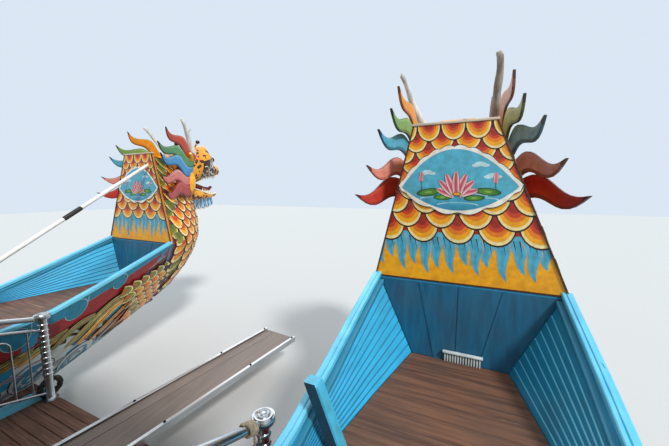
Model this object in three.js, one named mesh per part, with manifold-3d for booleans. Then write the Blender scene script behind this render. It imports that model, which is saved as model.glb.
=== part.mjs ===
// Twin-hulled river dragon boat: two dragon-headed wooden hulls under one deck and cabin.
// Millimetres, +Z up, bow along +Y, starboard along +X, origin amidships at the waterline.
import * as THREE from 'three';
import { mergeVertices } from 'three/addons/utils/BufferGeometryUtils.js';
import Module from 'manifold-3d';

const wasm = await Module();
wasm.setup();
const { Manifold } = wasm;

// Driving dimensions
const GAP = 0.3; // between pieces that touch
const HULL_X = 2550; // each hull's centreline, from the boat's
const AHEAD = { port: 320, starboard: 0 }; // the port hull lies further forward
const BOARD_Y = 6400; // aft face of the back boards
const WELL_Z = 1150; // top of the bow wells' floor
const GUNWALE_Z = 1180; // hull's edge along the cabin
const PLATFORM_Z = 400; // top of the low boarding platform
const CABIN_Y = { rear: -4600, front: 3200 };
const CABIN_HALF = 3000; // to the outside of its side walls
const WALL = 40;
const WALL_HEIGHT = 2050;
const DECK = { half: 3300, rear: -5000, front: 3260, thick: 60 };
const CAP = { wide: 75, thick: 40, proud: 10 }; // gunwale cap
const BOARD = { bottom: 690, top: 2130, bottomHalf: 810, topHalf: 350, thick: 30 };
const FLOOR_THICK = 18; // plywood

// The deck lies on the gunwale caps
const CAP_TOP = GUNWALE_Z + CAP.thick;
const DECK_BOTTOM = CAP_TOP + GAP;
const DECK_TOP = DECK_BOTTOM + DECK.thick;
const WALL_BOTTOM = DECK_TOP + GAP;
const WALL_TOP = WALL_BOTTOM + WALL_HEIGHT;

const SIDES = [
  { side: 'port', sign: -1 },
  { side: 'starboard', sign: 1 },
];

// Solids
function closed(points, triangles) {
  const signed = triangles.reduce((sum, [a, b, c]) => {
    const [p, q, r] = [a, b, c].map((i) => new THREE.Vector3(...points[i]));
    return sum + p.dot(q.cross(r));
  }, 0);
  const outward = signed > 0 ? triangles : triangles.map(([a, b, c]) => [a, c, b]);
  return new Manifold(new wasm.Mesh({
    numProp: 3,
    vertProperties: new Float32Array(points.flat()),
    triVerts: new Uint32Array(outward.flat()),
  }));
}

function solidOf(geometry) {
  const bare = geometry.clone();
  bare.deleteAttribute('normal');
  bare.deleteAttribute('uv');
  const merged = mergeVertices(bare, 1e-3);
  const position = merged.attributes.position;
  const points = Array.from({ length: position.count }, (_, i) => (
    [position.getX(i), position.getY(i), position.getZ(i)]
  ));
  const index = Array.from(merged.index.array);
  const triangles = [];
  for (let i = 0; i < index.length; i += 3) {
    const [a, b, c] = index.slice(i, i + 3);
    if (a !== b && b !== c && c !== a) triangles.push([a, b, c]);
  }
  return closed(points, triangles);
}

// A closed loft through rings of equal count; each end is a fan from the ring's middle
function loft(rings) {
  const count = rings[0].length;
  const points = rings.flat();
  const triangles = [];
  for (let r = 0; r + 1 < rings.length; r += 1) {
    for (let i = 0; i < count; i += 1) {
      const j = (i + 1) % count;
      const [a, b, c, d] = [r * count + i, r * count + j, (r + 1) * count + j, (r + 1) * count + i];
      triangles.push([a, b, c], [a, c, d]);
    }
  }
  const ends = [[rings[0], 0, 1], [rings.at(-1), (rings.length - 1) * count, -1]];
  for (const [ring, first, turn] of ends) {
    const middle = [0, 1, 2].map((k) => ring.reduce((sum, p) => sum + p[k], 0) / count);
    const centre = points.push(middle) - 1;
    for (let i = 0; i < count; i += 1) {
      const j = (i + 1) % count;
      triangles.push(turn > 0 ? [centre, first + j, first + i] : [centre, first + i, first + j]);
    }
  }
  return closed(points, triangles);
}

function block([x0, x1], [y0, y1], [z0, z1]) {
  return Manifold.cube([x1 - x0, y1 - y0, z1 - z0]).translate([x0, y0, z0]);
}

function rod(from, to, radius, sides = 12, endRadius = radius) {
  const start = new THREE.Vector3(...from);
  const along = new THREE.Vector3(...to).sub(start);
  const turn = new THREE.Quaternion().setFromUnitVectors(
    new THREE.Vector3(0, 0, 1), along.clone().normalize());
  const matrix = new THREE.Matrix4().compose(start, turn, new THREE.Vector3(1, 1, 1));
  return Manifold.cylinder(along.length(), radius, endRadius, sides).transform(matrix.elements);
}

function ball([x, y, z], radius, sides = 12) {
  return Manifold.sphere(radius, sides).translate([x, y, z]);
}

// A flat plate: outline [u, v] points, u and v along two axes, thick along the third
const PLANES = {
  xz: [[1, 0, 0], [0, 0, 1], [0, -1, 0]],
  yz: [[0, 1, 0], [0, 0, 1], [1, 0, 0]],
};
function plate(outline, plane, thick) {
  const shape = new THREE.Shape(outline.map(([u, v]) => new THREE.Vector2(u, v)));
  const geometry = new THREE.ExtrudeGeometry(shape, { depth: thick, bevelEnabled: false });
  const [u, v, w] = PLANES[plane].map((axis) => new THREE.Vector3(...axis));
  return solidOf(geometry.applyMatrix4(new THREE.Matrix4().makeBasis(u, v, w)));
}

const union = (solids) => Manifold.union(solids);
const shifted = (solid, x = 0, y = 0, z = 0) => solid.translate([x, y, z]);

// A copy that stands out by a gap on every side, to cut a seat with
function grown(solid, gap = GAP) {
  const { min, max } = solid.boundingBox();
  const middle = [0, 1, 2].map((k) => (min[k] + max[k]) / 2);
  const scale = [0, 1, 2].map((k) => (max[k] - min[k] + 2 * gap) / (max[k] - min[k]));
  return solid.translate(middle.map((m) => -m)).scale(scale).translate(middle);
}

// Nodes
const boat = new THREE.Group();
const PAINT = {
  teal: [0x1b7fa3, 0.5], cyan: [0x5cc6de, 0.45], orange: [0xe9a01f, 0.5], scale: [0xd9701c, 0.5],
  plywood: [0x7a5a42, 0.85], planking: [0x7d6a58, 0.8], deck: [0x5b7f8c, 0.75], horn: [0xb9b4a8, 0.7],
  jaw: [0xe0912a, 0.55], cream: [0xe9e2cf, 0.7], red: [0xa8322a, 0.6], tile: [0xb5432f, 0.7],
  frame: [0x35607a, 0.6], bench: [0x8a5a32, 0.6], engine: [0x4a5a52, 0.6],
};
const METAL = { steel: [0xc9ccce, 0.25], bronze: [0xb08d57, 0.4], white: [0xe8e8e4, 0.4] };

function addNode(name, solid, colour) {
  const mesh = solid.getMesh();
  const geometry = new THREE.BufferGeometry();
  const points = new Float32Array(mesh.numVert * 3);
  for (let i = 0; i < mesh.numVert; i += 1) {
    points.set(mesh.vertProperties.slice(i * mesh.numProp, i * mesh.numProp + 3), i * 3);
  }
  geometry.setAttribute('position', new THREE.BufferAttribute(points, 3));
  geometry.setIndex(new THREE.BufferAttribute(new Uint32Array(mesh.triVerts), 1));
  const [color, roughness] = PAINT[colour] ?? METAL[colour];
  const metalness = colour in METAL ? 0.9 : 0;
  const node = new THREE.Mesh(geometry, new THREE.MeshStandardMaterial({ color, roughness, metalness }));
  node.name = name;
  boat.add(node);
}

// Hull
// Stations from the stern; bilge and side are the two corners between keel and gunwale
const HULL_STATIONS = [
  // y, keel z, bilge half, bilge z, side half, side z, gunwale half, gunwale z
  [-7600, 60, 420, 180, 600, 560, 720, 1280],
  [-6900, -80, 460, 30, 660, 380, 790, GUNWALE_Z],
  [-6300, -450, 500, -250, 720, 200, 840, GUNWALE_Z],
  [-4600, -450, 560, -330, 760, 150, 870, GUNWALE_Z],
  [1500, -450, 560, -330, 760, 150, 870, GUNWALE_Z],
  [3300, -330, 525, -160, 735, 270, 870, GUNWALE_Z],
  [4200, -140, 470, 90, 700, 480, 868, GUNWALE_Z + 20],
  [4840, 60, 410, 320, 680, 740, 862, 1290],
  [5300, 240, 370, 480, 665, 890, 850, 1440],
  [5700, 400, 340, 660, 640, 1040, 840, 1585],
  [BOARD_Y, 715, 300, 970, 562, 1325, 812, 1840],
  [BOARD_Y + BOARD.thick, 730, 298, 985, 560, 1332, BOARD.bottomHalf, 1840],
].map(([y, keel, bilgeHalf, bilge, sideHalf, side, gunHalf, gun]) => (
  { y, keel, bilgeHalf, bilge, sideHalf, side, gunHalf, gun }
));

function hullRing({ y, keel, bilgeHalf, bilge, sideHalf, side, gunHalf, gun }) {
  const half = [[bilgeHalf, bilge], [sideHalf, side], [gunHalf, gun]];
  const mirrored = half.map(([x, z]) => [-x, y, z]).reverse();
  return [[0, y, keel], ...half.map(([x, z]) => [x, y, z]), ...mirrored];
}

// The open bow well, from the cabin's front to the raked transom under the board
const PLANK = 60; // hull side's thickness at the gunwale
const TRANSOM_RAKE = 90;
const WELL_STATIONS = [
  // y, half width at the floor
  [CABIN_Y.front, 808],
  [4200, 790],
  [4840, 690],
  [5570, 560],
  [BOARD_Y - 10 - TRANSOM_RAKE, 410],
].map(([y, half]) => ({ y, half }));
const WELL_BOTTOM = WELL_Z - FLOOR_THICK - GAP;

function between(table, y, key) {
  const next = table.findIndex((row) => row.y >= y);
  const [low, high] = [table[Math.max(next - 1, 0)], table[next < 0 ? table.length - 1 : next]];
  const part = high.y === low.y ? 0 : (y - low.y) / (high.y - low.y);
  return low[key] + (high[key] - low[key]) * part;
}

// Half width and height of the well's opening, carried 300 above the gunwale
function wellRing({ y, half }, isTransom) {
  const top = between(HULL_STATIONS, y, 'gun');
  const atGunwale = between(HULL_STATIONS, y, 'gunHalf') - PLANK;
  const above = 300;
  const flare = ((atGunwale - half) / (top - WELL_BOTTOM)) * above;
  const topHalf = atGunwale + flare;
  const lean = isTransom ? (TRANSOM_RAKE * (top + above - WELL_BOTTOM)) / (top - WELL_BOTTOM) : 0;
  return [
    [-half, y, WELL_BOTTOM], [half, y, WELL_BOTTOM],
    [topHalf, y + lean, top + above], [-topHalf, y + lean, top + above],
  ];
}

// The stern gear: shaft tube in the deadwood, rudder on two gudgeons on the transom
const SHAFT = { z: -270, radius: 22, hole: 23, tube: 45, tubeEnd: -6780, blade: -7150 };
const RUDDER = { y: -7660, stock: 24, hole: 25, gudgeons: [260, 700], top: 780, bottom: -480 };
const BAY = { half: 430, rear: -6560, front: -5680, bottom: 200 };

const hullShell = loft(HULL_STATIONS.map(hullRing));
const wellSpace = loft(WELL_STATIONS.map((row, i) => wellRing(row, i === WELL_STATIONS.length - 1)));
const gudgeon = (z) => union([
  block([-40, 40], [RUDDER.y, -7590], [z - 30, z + 30]),
  rod([0, RUDDER.y, z - 30], [0, RUDDER.y, z + 30], 48, 16),
]);
const hullSolid = union([
  hullShell.subtract(wellSpace),
  rod([0, -6400, SHAFT.z], [0, SHAFT.tubeEnd, SHAFT.z], SHAFT.tube, 16),
  ...RUDDER.gudgeons.map(gudgeon),
])
  .subtract(rod([0, -6450, SHAFT.z], [0, SHAFT.tubeEnd - 5, SHAFT.z], SHAFT.hole, 20))
  .subtract(rod([0, RUDDER.y, RUDDER.bottom], [0, RUDDER.y, RUDDER.top], RUDDER.hole, 20))
  .subtract(block([-BAY.half, BAY.half], [BAY.rear, BAY.front], [BAY.bottom, GUNWALE_Z + 50]));

// Plywood floor of the well
function floorRing({ y, half }, i) {
  const edge = half - 2;
  const end = i === 0 ? y + GAP : y;
  const forward = i === WELL_STATIONS.length - 1 ? end - 2 : end;
  const [low, high] = [WELL_Z - FLOOR_THICK, WELL_Z];
  return [[-edge, forward, low], [edge, forward, low], [edge, forward, high], [-edge, forward, high]];
}
const wellFloor = loft(WELL_STATIONS.map(floorRing));

// Gunwale cap: two runs along the sheer and one across the stern
function capRing(row, sign) {
  const outer = sign * (row.gunHalf + CAP.proud);
  const inner = sign * (row.gunHalf + CAP.proud - CAP.wide);
  const [low, high] = [row.gun + GAP, row.gun + CAP.thick];
  const y = Math.min(row.y, BOARD_Y - GAP);
  return [[inner, y, low], [outer, y, low], [outer, y, high], [inner, y, high]];
}
const CAP_STATIONS = HULL_STATIONS.slice(0, -1);
const stern = HULL_STATIONS[0];
const gunwaleCap = union([
  ...[-1, 1].map((sign) => loft(CAP_STATIONS.map((row) => capRing(row, sign)))),
  block([-stern.gunHalf, stern.gunHalf], [stern.y, stern.y + CAP.wide],
    [stern.gun + GAP, stern.gun + CAP.thick]),
]).subtract(shifted(hullShell, 0, 0, GAP));

// Everything above a board's foot leans inwards, towards the other hull
const LEAN = 0.085;
function leaned(solid, sign) {
  const from = WELL_Z + BOARD.bottom;
  return solid.warp((point) => {
    point[0] -= sign * LEAN * Math.max(0, point[2] - from);
  });
}

// Back board, upright across the bow
const boardHalf = (z) => {
  const part = (z - BOARD.bottom) / (BOARD.top - BOARD.bottom);
  return BOARD.bottomHalf + (BOARD.topHalf - BOARD.bottomHalf) * part;
};
const boardCap = 30; // the wood strip along the top edge

const boardPanel = plate([
  [-BOARD.bottomHalf, BOARD.bottom + GAP], [BOARD.bottomHalf, BOARD.bottom + GAP],
  [BOARD.topHalf, BOARD.top], [-BOARD.topHalf, BOARD.top],
], 'xz', BOARD.thick);
const backBoard = shifted(union([
  boardPanel,
  block([-BOARD.topHalf - 15, BOARD.topHalf + 15], [-BOARD.thick, 20], [BOARD.top - 5, BOARD.top + boardCap]),
]), 0, BOARD_Y + BOARD.thick, WELL_Z);

// Scaled neck: a wedge from the board forward to the stem, by level
const NECK_BACK = BOARD_Y + BOARD.thick + GAP;
const HEAD_BACK = BOARD_Y + 520; // where the head is joined to the neck
const NECK_LEVELS = [
  // z over the well's floor, half width at the board, depth to the stem
  [-420, 14, 12],
  [-165, 298, 440],
  [182, 560, 770],
  [430, 682, 930],
  [BOARD.bottom, BOARD.bottomHalf, 1020],
  [1000, boardHalf(1000), 1040],
  [1300, boardHalf(1300), 960],
  [1600, boardHalf(1600), 760],
  [1850, boardHalf(1850), 600],
  [2080, boardHalf(2080), 460],
].map(([z, half, depth]) => ({ z, half, depth }));
const NECK_OUTLINE = [
  // share of the half width, share of the depth
  [1, 0], [0.93, 0.28], [0.74, 0.58], [0.42, 0.86], [0, 1],
];
function neckRing({ z, half, depth }) {
  const right = NECK_OUTLINE.map(([x, y]) => [x * half, NECK_BACK + y * depth, WELL_Z + z]);
  const left = right.slice(0, -1).reverse().map(([x, y, level]) => [-x, y, level]);
  return [...right, ...left];
}
const HEAD_LEVEL = WELL_Z + 1300;
const neck = loft(NECK_LEVELS.map(neckRing))
  .subtract(block([-900, 900], [HEAD_BACK, HEAD_BACK + 900], [HEAD_LEVEL, HEAD_LEVEL + 1200]))
  .subtract(grown(hullShell, 0.05));

// Dragon's head, mouth open, facing forward; y from the board, z from the well's floor
const HEAD_STATIONS = [
  // y, half width, bottom, top
  [520 + GAP, 330, 1620, 2030],
  [760, 400, 1620, 2230],
  [1000, 410, 1700, 2370],
  [1180, 360, 1780, 2350],
  [1300, 290, 1810, 2180],
  [1440, 240, 1830, 2060],
  [1550, 200, 1850, 2030],
  [1600, 120, 1890, 1990],
].map(([y, half, bottom, top]) => ({ y, half, bottom, top }));
const JAW_STATIONS = [
  [520 + GAP, 300, 1310, 1620 - GAP],
  [800, 300, 1330, 1620 - GAP],
  [1000, 270, 1350, 1590],
  [1200, 230, 1365, 1520],
  [1400, 190, 1390, 1480],
  [1570, 110, 1440, 1500],
].map(([y, half, bottom, top]) => ({ y, half, bottom, top }));

// A rounded cross-section: ten corners on a squarish oval
function headRing({ y, half, bottom, top }) {
  const [middle, rise] = [(top + bottom) / 2, (top - bottom) / 2];
  return Array.from({ length: 10 }, (_, i) => {
    const turn = ((i + 0.5) / 10) * 2 * Math.PI;
    const squarish = (v) => Math.sign(v) * Math.abs(v) ** 0.7;
    return [half * squarish(Math.cos(turn)), y, middle + rise * squarish(Math.sin(turn))];
  });
}

// The mane: five tongues on each cheek that sweep back past the board's edges
// A wavy tongue from its root to its tip, in the plane of a plate
function flame(root, tip, width, wave) {
  const along = new THREE.Vector2(...tip).sub(new THREE.Vector2(...root));
  const across = new THREE.Vector2(-along.y, along.x).normalize();
  const steps = 6;
  const sides = [[], []];
  for (let i = 0; i < steps; i += 1) {
    const t = i / steps;
    const centre = new THREE.Vector2(...root).addScaledVector(along, t)
      .addScaledVector(across, wave * Math.sin(2 * Math.PI * t));
    const half = (width / 2) * (0.85 + 0.5 * t) * (1 - t ** 2.5);
    sides[0].push(centre.clone().addScaledVector(across, -half));
    sides[1].unshift(centre.clone().addScaledVector(across, half));
  }
  return [...sides[0], new THREE.Vector2(...tip), ...sides[1]].map((p) => [p.x, p.y]);
}

const MANE = [
  // root back, root z, tip back, tip z, width, wave, degrees that it stands off
  [-90, 2130, 585, 2530, 150, 32, 9],
  [-60, 2030, 755, 2280, 160, 36, 10.5],
  [-40, 1890, 825, 2090, 165, 36, 18.5],
  [-30, 1745, 930, 1750, 165, 34, 23.5],
  [-30, 1600, 990, 1475, 190, 34, 30.5],
].map(([rootBack, rootZ, tipBack, tipZ, width, wave, flare]) => (
  { rootBack, rootZ, tipBack, tipZ, width, wave, flare }));
const MANE_HINGE = { x: 400, y: 700 }; // the cheek that the tongues spring from
const MANE_THICK = 24;
function maneFlame({ rootBack, rootZ, tipBack, tipZ, width, wave, flare }) {
  return plate(flame([rootBack, rootZ], [tipBack, tipZ], width, wave), 'xz', MANE_THICK)
    .translate([0, MANE_THICK / 2, 0])
    .rotate([0, 0, flare - 90])
    .translate([MANE_HINGE.x, MANE_HINGE.y, 0]);
}
const TEETH = { upper: [1340, 1450, 1540], lower: [1300, 1400, 1500] };
const tooth = (x, y, z, rise) => rod([x, y, z - rise * 0.3], [x, y, z + rise], 22, 6, 4);
const cheek = Manifold.cylinder(70, 1, 1, 16).rotate([0, 90, 0]).scale([1, 85, 200])
  .translate([350, 700, 1700]);
const ear = rod([350, 700, 2110], [500, 600, 2190], 75, 8, 20);
const stalk = union([
  rod([230, 900, 2280], [290, 930, 2435], 16, 8),
  ball([290, 930, 2440], 38, 8),
]);
const eye = ball([250, 1230, 2130], 85, 12);

const halfDetails = union([
  ...MANE.map(maneFlame), cheek, ear, stalk, eye,
  ...TEETH.upper.map((y, i) => tooth(190 - 40 * i, y, 1850, -75)),
]);
const headLocal = union([
  loft(HEAD_STATIONS.map(headRing)),
  halfDetails,
  halfDetails.mirror([1, 0, 0]),
]);
const headShape = shifted(headLocal, 0, BOARD_Y, WELL_Z).subtract(grown(neck));

// Lower jaw with the beard's tongues under it
const BEARD = [
  // y, length, lean forward
  [900, 190, -20],
  [1050, 230, 10],
  [1200, 240, 40],
  [1350, 200, 60],
].map(([y, length, lean]) => ({ y, length, lean }));
const beardTongue = ({ y, length, lean }) => plate([
  [y - 90, 1400], [y + 90, 1400], [y + 95 + lean, 1400 - length * 0.6], [y + lean, 1400 - length],
  [y - 95 + lean, 1400 - length * 0.6],
], 'yz', 300).translate([-150, 0, 0]);
const jawLocal = union([
  loft(JAW_STATIONS.map(headRing)),
  ...BEARD.map(beardTongue),
  ...TEETH.lower.flatMap((y, i) => [1, -1].map((sign) => tooth(sign * (165 - 40 * i), y, 1480, 60))),
]);
const jawShape = shifted(jawLocal, 0, BOARD_Y, WELL_Z)
  .subtract(grown(neck)).subtract(grown(headShape));

// Horns: tapered, set in the brow and swept back; each one is a branch of its own shape
const HORNS = {
  // port and starboard horn: tip x from the hull's centreline, tip z, root radius, tip radius
  port: [[-580, 2700, 46, 24], [400, 2770, 58, 22]],
  starboard: [[-520, 2800, 50, 24], [400, 2850, 58, 46]],
};
const HORN = { rootX: 330, rootY: 800, rootZ: 2160, tipY: 500, bend: 30, steps: 6, sides: 8 };
function horn([tipX, tipZ, rootRadius, tipRadius]) {
  const sign = Math.sign(tipX);
  const rings = Array.from({ length: HORN.steps + 1 }, (_, i) => {
    const t = i / HORN.steps;
    const centre = [
      sign * HORN.rootX + (tipX - sign * HORN.rootX) * t,
      HORN.rootY + (HORN.tipY - HORN.rootY) * t + HORN.bend * Math.sin(Math.PI * t),
      HORN.rootZ + (tipZ - HORN.rootZ) * t,
    ];
    const radius = rootRadius + (tipRadius - rootRadius) * t;
    return Array.from({ length: HORN.sides }, (__, k) => {
      const turn = (k / HORN.sides) * 2 * Math.PI;
      return [centre[0] + radius * Math.cos(turn), centre[1] + radius * Math.sin(turn), centre[2]];
    });
  });
  return shifted(loft(rings), 0, BOARD_Y, WELL_Z);
}

// Stern tail: a curled board that stands on the stern
const TAIL = [
  // y, z along its back edge and then down its front edge
  [-7560, 1240], [-7720, 1500], [-7900, 1900], [-7960, 2350], [-7880, 2700], [-7780, 2420],
  [-7640, 2640], [-7600, 2300], [-7440, 2420], [-7460, 2050], [-7330, 1700], [-7180, 1450], [-7000, 1210],
];
const tail = plate(TAIL, 'yz', 50).translate([-25, 0, 0])
  .subtract(shifted(hullShell, 0, 0, GAP))
  .subtract(block([-60, 60], [stern.y - 200, stern.y + CAP.wide + GAP], [0, stern.gun + CAP.thick + GAP]));

// Propeller with its shaft
const propeller = union([
  rod([0, -6460, SHAFT.z], [0, SHAFT.blade - 60, SHAFT.z], SHAFT.radius, 20),
  rod([0, SHAFT.blade + 50, SHAFT.z], [0, SHAFT.blade - 70, SHAFT.z], 42, 16),
  ...[0, 120, 240].map((turn) => block([-55, 55], [-7, 7], [20, 180])
    .rotate([0, 0, 28]).rotate([0, turn, 0]).translate([0, SHAFT.blade, SHAFT.z])),
]);

// Rudder blade on its stock
const rudder = union([
  plate([[-7720, 640], [-7720, -470], [-8000, -470], [-8060, -200], [-7960, 300], [-7820, 640]], 'yz', 30)
    .translate([-15, 0, 0]),
  rod([0, RUDDER.y, RUDDER.bottom + 30], [0, RUDDER.y, RUDDER.top], RUDDER.stock, 20),
  ...[-420, -100, 60, 440, 580].map((z) => block([-12, 12], [-7730, RUDDER.y], [z - 20, z + 20])),
  rod([0, RUDDER.y, RUDDER.top - 40], [0, RUDDER.y, RUDDER.top], 40, 16),
]);

// Engine in its bay, with a hinged hatch over it
const engine = block([-300, 300], [BAY.rear + 80, BAY.front - 100], [BAY.bottom + GAP, 900]);
const HATCH = { rear: -6620, front: -5620, half: 490, thick: 24 };
const hatch = union([
  block([-HATCH.half, HATCH.half], [HATCH.rear, HATCH.front],
    [GUNWALE_Z + 0.5, GUNWALE_Z + HATCH.thick]),
  block([-60, 60], [HATCH.rear + 60, HATCH.rear + 90], [GUNWALE_Z + 10, GUNWALE_Z + 60]),
]);

for (const { side, sign } of SIDES) {
  const here = (solid) => shifted(solid, sign * HULL_X, AHEAD[side]);
  const leaning = (solid) => here(leaned(solid, sign));
  const seat = union([[0, 0, 1], [1, 0, 0], [-1, 0, 0], [0, 1, 0], [0, -1, 0]]
    .map((way) => headShape.translate(way.map((share) => share * GAP))));
  const [portHorn, starboardHorn] = HORNS[side].map((row) => horn(row).subtract(seat));
  addNode(`hull_${side}`, here(hullSolid), 'teal');
  addNode(`well_floor_${side}`, here(wellFloor), 'plywood');
  addNode(`gunwale_cap_${side}`, here(gunwaleCap), 'cyan');
  addNode(`back_board_${side}`, leaning(backBoard), 'orange');
  addNode(`neck_${side}`, leaning(neck), 'scale');
  addNode(`head_${side}`, leaning(headShape), 'jaw');
  addNode(`jaw_${side}`, leaning(jawShape), 'jaw');
  addNode(`horn_port_${side}_hull`, leaning(portHorn), 'horn');
  addNode(`horn_starboard_${side}_hull`, leaning(starboardHorn), 'horn');
  addNode(`tail_${side}`, here(tail), 'scale');
  addNode(`propeller_${side}`, here(propeller), 'bronze');
  addNode(`rudder_${side}`, here(rudder), 'frame');
  addNode(`engine_${side}`, here(engine), 'engine');
  addNode(`hatch_${side}`, here(hatch), 'deck');
}

// Between the hulls: cross beams, low platform and steps, cut to the hulls' sides
const bothHulls = SIDES.map(({ side, sign }) => shifted(hullShell, sign * (HULL_X - GAP), AHEAD[side]));
const fitted = (solid) => bothHulls.reduce((rest, hull) => rest.subtract(hull), solid);
const BEAM_HALF = HULL_X - 870 - CAP.proud - GAP;
const BEAMS = [
  // name, y
  ['cross_beam_rear', -4700],
  ['cross_beam_middle', -900],
  ['cross_beam_front', 2900],
];
for (const [name, y] of BEAMS) {
  addNode(name, block([-BEAM_HALF, BEAM_HALF], [y - 90, y + 90], [1000, CAP_TOP]), 'frame');
}
const PLATFORM = { rear: 3000, front: 5060, thick: 50 };
const platformSlab = fitted(block([-HULL_X, HULL_X], [PLATFORM.rear, PLATFORM.front],
  [PLATFORM_Z - PLATFORM.thick, PLATFORM_Z]));
const platformBeam = (y) => fitted(block([-HULL_X, HULL_X], [y - 60, y + 60],
  [PLATFORM_Z - PLATFORM.thick - 120, PLATFORM_Z - PLATFORM.thick - GAP]));
addNode('platform_beam_rear', platformBeam(3200), 'frame');
addNode('platform_beam_front', platformBeam(4700), 'frame');

// Three steps up to the cabin deck, on two side boards
const STEP = { count: 3, half: 600, tread: 230, front: 3990 };
const stepRise = (DECK_TOP - PLATFORM_Z) / (STEP.count + 1);
const stepBack = DECK.front + GAP;
const steps = Array.from({ length: STEP.count }, (_, i) => {
  const z = PLATFORM_Z + stepRise * (i + 1);
  const front = STEP.front - STEP.tread * i;
  return block([-STEP.half, STEP.half], [front - STEP.tread - 20, front], [z - 35, z]);
});
const stringer = plate([
  [stepBack, PLATFORM_Z + GAP], [STEP.front - 40, PLATFORM_Z + GAP], [STEP.front - 40, PLATFORM_Z + stepRise - 10],
  [stepBack + 60, DECK_TOP - 60], [stepBack, DECK_TOP - 60],
], 'yz', 35);
addNode('boarding_steps', union([
  ...steps, shifted(stringer, -STEP.half), shifted(stringer, STEP.half - 35),
]), 'planking');

// Stainless rails along the platform's sides: a capped post at the front, and tubes that climb aft
const RAIL = {
  x: 1540, front: { port: 5000, starboard: 4820 }, climb: { port: 0.28, starboard: 0.45 }, rear: 3420,
  height: 950, post: 38, cap: 70, tube: 25, bar: 8,
};
function platformRail(side, sign) {
  const x = sign * RAIL.x;
  const front = RAIL.front[side];
  const base = PLATFORM_Z + GAP;
  const level = (share) => PLATFORM_Z + RAIL.height * share;
  const climbed = (y, z) => z + (front - y) * RAIL.climb[side];
  const along = (z, radius) => rod([x, front, z], [x, RAIL.rear, climbed(RAIL.rear, z)], radius, 10);
  const upright = (y, radius, top) => rod([x, y, base], [x, y, top], radius, 12);
  const barCount = 11;
  const bars = Array.from({ length: barCount }, (_, i) => {
    const y = RAIL.rear + ((front - RAIL.rear) * (i + 1)) / (barCount + 1);
    return rod([x, y, climbed(y, level(0.08))], [x, y, climbed(y, level(0.84))], RAIL.bar, 6);
  });
  return union([
    upright(front, RAIL.post, level(1.02)),
    rod([x, front, level(0.98)], [x, front, level(1.04)], RAIL.cap, 16),
    upright(RAIL.rear, RAIL.tube, climbed(RAIL.rear, level(0.97))),
    along(level(0.97), RAIL.tube), along(level(0.84), 14), along(level(0.08), 14),
    ...bars,
  ]);
}
for (const { side, sign } of SIDES) addNode(`platform_rail_${side}`, platformRail(side, sign), 'steel');

// Gangplank: a sheet between two side rails, level just over the boarding platform; its hinge
// bar turns in two ears that stand on the platform, and it points a little to starboard
const HINGE = { x: -380, y: 4120, z: 440, bar: 16, hole: 17, ear: 350, earHalf: 12, earReach: 35, earTop: 29 };
const PLANKS = { half: 300, length: 3130, heading: 6.1, rail: 40, start: 60 };
const atHinge = (solid) => solid.rotate([0, 0, -PLANKS.heading]).translate([HINGE.x, HINGE.y, HINGE.z]);
const hingeBar = (radius, end) => rod([-end, 0, 0], [end, 0, 0], radius, 20);
const gangplank = atHinge(union([
  block([-PLANKS.half + PLANKS.rail - 5, PLANKS.half - PLANKS.rail + 5], [PLANKS.start, PLANKS.length], [-10, 20]),
  ...[-1, 1].map((sign) => block(
    [sign * PLANKS.half, sign * (PLANKS.half - PLANKS.rail)].sort((a, b) => a - b),
    [-10, PLANKS.length], [-30, 45])),
  hingeBar(HINGE.bar, HINGE.ear + HINGE.earHalf + 10),
]));
addNode('gangplank', gangplank, 'planking');
const ears = atHinge(union([-1, 1].map((sign) => block(
  [sign * HINGE.ear - HINGE.earHalf, sign * HINGE.ear + HINGE.earHalf], [-HINGE.earReach, HINGE.earReach],
  [PLATFORM_Z - HINGE.z - PLATFORM.thick / 2, HINGE.earTop],
))).subtract(hingeBar(HINGE.hole, HINGE.ear + HINGE.earHalf + 20)));
addNode('boarding_platform', union([platformSlab, ears]), 'planking');

// Pipe brace from the port board's edge down to its hull's fore deck, with a black sleeve
const BRACE = { top: [400, BOARD_Y - 26, WELL_Z + 1950], foot: [520, 3420, WELL_Z + 26], radius: 25 };
const braceSolid = union([
  rod(BRACE.foot, BRACE.top, BRACE.radius, 12),
  block([BRACE.foot[0] - 60, BRACE.foot[0] + 60], [BRACE.foot[1] - 60, BRACE.foot[1] + 60],
    [WELL_Z + GAP, WELL_Z + 30]),
]).subtract(grown(leaned(backBoard, -1), GAP));
addNode('pipe_brace', shifted(braceSolid, -HULL_X, AHEAD.port), 'white');

// Timber mooring post against the inner wall of the starboard hull's well, on its port side
const POST = { y: 4980, foot: -585, head: -745, rise: 440, radius: 48 };
const mooringPost = rod([POST.foot, POST.y, WELL_Z - 100], [POST.head, POST.y - 30, WELL_Z + POST.rise], POST.radius, 8)
  .trimByPlane([0, 0, 1], WELL_Z + GAP).subtract(shifted(hullSolid, GAP, 0, 0));
addNode('mooring_post', shifted(mooringPost, HULL_X), 'frame');

// Cabin deck on the hulls' caps and the beams
const deckSlab = block([-DECK.half, DECK.half], [DECK.rear, DECK.front], [DECK_BOTTOM, DECK_TOP]);
addNode('cabin_deck', deckSlab, 'deck');

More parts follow.
